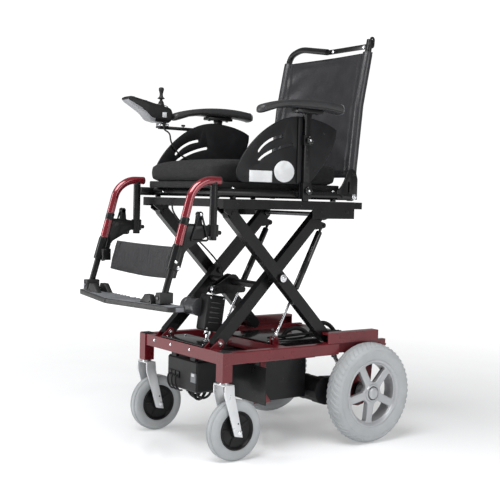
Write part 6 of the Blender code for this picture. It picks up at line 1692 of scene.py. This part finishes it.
def make_controller_arm():
    """Square bar, the cradle under the housing, and the clamp's stud and knob."""
    x, y, z = STICK_X, STICK_Y, CONTROL_Z
    along, high = (y - 0.010, y + 0.030), POD_BASE - GAP
    bar = (y - 0.008, ARM_POST_Y + 0.060)
    stud_y = y + 0.097
    arm = Piece("controller_arm_looks")
    arm.add(block((x - 0.006, x + 0.006), bar, (z - 0.006, z + 0.006), 0.0010), "black")
    arm.add(block((x - 0.018, x + 0.009), along, (z - 0.002, z + 0.006)), "black")
    for ends in ((y - 0.010, y - 0.005), (y + 0.024, y + 0.030)):
        arm.add(block((x - 0.016, x + 0.008), ends, (z + 0.004, high), 0.0008), "bright")
    arm.add(block((x - 0.017, x + 0.009), along, (POD_BASE - 0.0032, high), 0.0008), "bright")
    arm.add(rod((x, stud_y, z + 0.004), (x, stud_y, z + 0.010), 0.0042, sides=24), "bright")
    arm.add(knob((x, stud_y, z + 0.0085), (0, 0, 1), 0.0080, 0.0075, 5), "gloss")
    arm.add(bolt_head((x - 0.018, y + 0.012, z + 0.002), (-1, 0, 0), 0.0036, 0.0005), "bright")
    arm.done("controller", ["controller_arm"])


def make_controller_lead():
    """From the housing's gland, down and back behind the right panel."""
    first = Vector((*GLAND, POD_BASE - 0.010 - GAP))
    start = first - Vector((0, 0, 2 * CABLE_R))
    turn = Vector((-0.2455, STICK_Y + 0.020, PANEL_TOP - 0.058))
    drop = bezier(start, start + Vector((0, 0, -0.014)), turn + Vector((-0.002, -0.003, 0.020)), turn, 10)
    run = bezier(turn, turn + Vector((0, 0.002, -0.032)), turn + Vector((0, 0.030, -0.075)),
                 turn + Vector((0, 0.110, -0.088)), 16)
    lead("controller_lead", [tuple(first)] + drop + run[1:], "controller", "controller_cable")


make_pod()
make_pod_trim()
make_button()
make_joystick()
make_controller_arm()
make_controller_lead()

# Lift and drive
GAS_FOOT, GAS_HEAD = (-0.325, 0.371), (-0.1242, 0.7641)
RAM_FOOT, RAM_HEAD = Vector((-0.035, -0.490, 0.250)), Vector((-0.035, -0.450, 0.530))
MOTOR_Y, MOTOR_Z, MOTOR_CORE = -0.150, 0.185, 0.0430
COVER_LEVEL = RAIL_TOP - 0.005 + GAP


def make_gas_springs():
    for name, s in SIDES:
        x = s * INNER_X
        foot, head = Vector((x, *GAS_FOOT)), Vector((x, *GAS_HEAD))
        along, length = (head - foot).normalized(), (head - foot).length
        low = length - 0.248
        eye = [(0.0046, -0.0055), (0.0088, -0.0055), (0.0095, -0.0048), (0.0095, 0.0048), (0.0088, 0.0055),
               (0.0046, 0.0055)]
        tube = [(0.0100, low), (0.0112, low), (0.0115, low + 0.0006), (0.0114, length - 0.030),
                (0.0100, length - 0.0255), (0.0052, length - 0.0250), (0.0052, length - 0.009),
                (0.0020, length - 0.009), (0.0020, length - 0.030), (0.0100, length - 0.032)]
        lower = Piece("gas_rod_looks_" + name)
        lower.add(turned(eye, foot, sides=36), "bright")
        lower.add(rod(foot + along * 0.0085, foot + along * (length - 0.1045), 0.0045, sides=32), "bright")
        lower.add(rod(foot + along * 0.008, foot + along * 0.022, 0.0068, sides=6), "bright")
        lower.done("gas_rods", ["gas_rod_" + name])
        upper = Piece("gas_tube_looks_" + name).add(turned(tube, foot, along, 40), "gloss")
        upper.add(turned(band(0.0113, 0.01155, low + 0.060, low + 0.105), foot, along, 40), "plastic")
        upper.add(turned(eye, head, sides=36), "bright")
        upper.done("gas_tubes", ["gas_tube_" + name])


def add_actuator_motor(gear):
    """Motor can beside the actuator, with the small knob on it."""
    level = (RAM_HEAD - (RAM_HEAD - RAM_FOOT).normalized() * 0.060).z
    at = Vector((-0.047, -0.500, level - 0.004))
    reach = -0.035 - 0.012 + INNER_X - ARM_HALF - 0.004
    can = [(0, 0.001), (0.0312, 0.001), (0.0312, 0.018), (0.0298, 0.020), (0.0298, reach - 0.030),
           (0.0315, reach - 0.028), (0.0315, reach - 0.014), (0.0300, reach - 0.006), (0.0260, reach - 0.003),
           (0.0150, reach - 0.001), (0, reach - 0.001)]
    cap = [(0, 0.0135), (0.0050, 0.0130), (0.0062, 0.0110), (0.0088, 0.0010), (0.0088, 0.0), (0, 0.0)]
    gear.add(turned(can, at, (-1, 0, 0), 56, ring=False), "motor")
    gear.add(turned(cap, (-0.095, at.y, level + 0.0315 - 0.008), (0, 0, 1), 28, ring=False), "plastic")


def make_actuator():
    foot, head = RAM_FOOT, RAM_HEAD
    along, length = (head - foot).normalized(), (head - foot).length
    lean = Matrix.Translation(head) @ Matrix.Rotation(-atan2(along.y, along.z), 4, "X")
    eye = [(0.0066, -0.0115), (0.0125, -0.0115), (0.0135, -0.0100), (0.0135, 0.0100), (0.0125, 0.0115),
           (0.0066, 0.0115)]
    nose = [(0.0104, 0), (0.0160, 0), (0.0170, 0.0015), (0.0170, 0.016), (0.0104, 0.016)]
    ram = Piece("actuator_rod_looks")
    ram.add(turned(eye, foot, sides=40), "bright")
    ram.add(rod(foot + along * 0.012, foot + along * (length - 0.086), 0.0089, sides=40), "bright")
    ram.done("actuator_rod", ["actuator_rod"])
    gear = Piece("actuator_looks")
    body = [(block((-0.0298, 0.0298), (-0.0368, 0.0368), (-0.1475, -0.0205), 0.0075, 4), "plastic")]
    for k in range(5):
        z = -0.045 - 0.018 * k
        body.append((block((0.0286, 0.0300), (-0.026, 0.026), (z - 0.0030, z + 0.0030), 0.0006), "gloss"))
    for y, z in ((-0.028, -0.029), (0.028, -0.029), (-0.028, -0.139), (0.028, -0.139)):
        body.append((dome((0.0297, y, z), (1, 0, 0), 0.0036, 0.0003), "bright"))
    for bm, look in body:
        bmesh.ops.transform(bm, matrix=lean, verts=bm.verts)
        gear.add(bm, look)
    gear.add(rod(head - along * 0.026, head - along * 0.010, 0.0094, sides=32), "bright")
    gear.add(turned(eye, head, sides=40), "bright")
    gear.add(turned(nose, head - along * 0.160, along, 40), "bright")
    add_actuator_motor(gear)
    gear.done("actuator_housing", ["actuator_housing"])


def make_bolts():
    """Bolt heads where the arms cross, and the bolts along the lift frame."""
    inner = Piece("inner_arm_bolts")
    upper = Piece("lift_frame_bolts")
    for s in (1, -1):
        head = (s * (OUTER_X + ARM_HALF + 0.010), *MID_PIVOT)
        inner.add(bolt_head(head, (s, 0, 0), 0.0088, 0.0040), "bright")
        inner.add(turned(band(0.0086, 0.0130, 0, 0.0009), head, (s, 0, 0), 36), "bright")
        for y in (-0.560, -0.300):
            upper.add(dome((s * 0.255, y, LIFT_TOP - 0.015), (s, 0, 0), 0.0050, 0.0024), "plastic")
        for y in (-0.215, -0.095):
            upper.add(bolt_head((s * 0.2554, y, 0.815), (s, 0, 0), 0.0048, 0.0034), "plastic")
    inner.done("inner_arms")
    upper.done("seat")


def make_drive_units():
    """Hoops and the metal plate round each motor."""
    for name, s in SIDES:
        low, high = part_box("motor_" + name)
        inside = min(abs(low[0]), abs(high[0]))
        unit = Piece("motor_bands_" + name)
        for inner, outer, start, end, look in ((MOTOR_CORE, 0.0452, 0.004, 0.010, "motor"),
                                               (MOTOR_CORE, 0.0446, 0.052, 0.055, "motor"),
                                               (MOTOR_CORE, 0.0452, 0.088, 0.094, "motor"),
                                               (0.0438, 0.0442, 0.012, 0.050, "pale_metal")):
            hoop = band(inner, outer, inside + start, inside + end)
            unit.add(turned(hoop, (0, MOTOR_Y, MOTOR_Z), (s, 0, 0)), look)
        unit.done("chassis")


def make_lift_lead():
    start, end = Vector((-0.080, -0.603, 0.82333)), Vector((-0.080, -0.385, 0.5703))
    straight = Vector((0, 0, 2 * CABLE_R))
    route = bezier(start - straight, start - straight * 10, end + straight * 12, end + straight, 28)
    lead("lift_lead", [tuple(start)] + route + [tuple(end)], "seat", "lift_cable")


def make_rear_cover():
    """Lid with side lips, two carrying loops in collars, and its screws."""
    level, top = COVER_LEVEL, COVER_LEVEL + 0.005
    collar = [(0.0076, 0), (0.0130, 0), (0.0118, 0.0030), (0.0082, 0.0042)]
    rear = Piece("rear_cover_looks")
    rear.add(block((-0.138, 0.138), (-0.336, 0.096), (level, top), 0.0022, 4), "gloss")
    for s in (-1, 1):
        rear.add(block(pair(s, 0.1342, 0.138), (-0.312, 0.078), (level - 0.030, level + 0.003)), "gloss")
    for x, start, end, rise in ((0.060, -0.215, -0.090, 0.034), (0.020, -0.050, 0.070, 0.042)):
        crest = level + rise
        route = bezier((x, start, level + 0.002), (x, start + 0.020, crest + 0.008),
                       (x, end - 0.040, crest + 0.014), (x, end, level + 0.002), 28)
        rear.add(pipe(route, 0.0078, 24), "rubber")
        for y in (start, end):
            rear.add(turned(collar, (x, y, top - 0.0002), (0, 0, 1), 32), "plastic")
    for x in (-0.120, 0.120):
        for y in (-0.318, -0.120, 0.078):
            rear.add(dome((x, y, top - 0.0002), (0, 0, 1), 0.0050, 0.0020), "bright")
    rear.done("chassis", ["rear_cover"])


def make_deck_cover():
    deck = Piece("deck_cover_looks")
    low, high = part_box("deck_cover")
    along = (low[1] - AXLE_Y, high[1] - AXLE_Y)
    deck.add(block((low[0], high[0]), along, (low[2], high[2]), 0.0022, 4), "gloss")
    for x in (-0.115, 0.115):
        for y in (-0.590, -0.515):
            deck.add(dome((x, y, high[2] - 0.0002), (0, 0, 1), 0.0046, 0.0018), "bright")
    deck.done("chassis", ["deck_cover"])


make_gas_springs()
make_actuator()
make_bolts()
make_drive_units()
make_lift_lead()
make_rear_cover()
make_deck_cover()
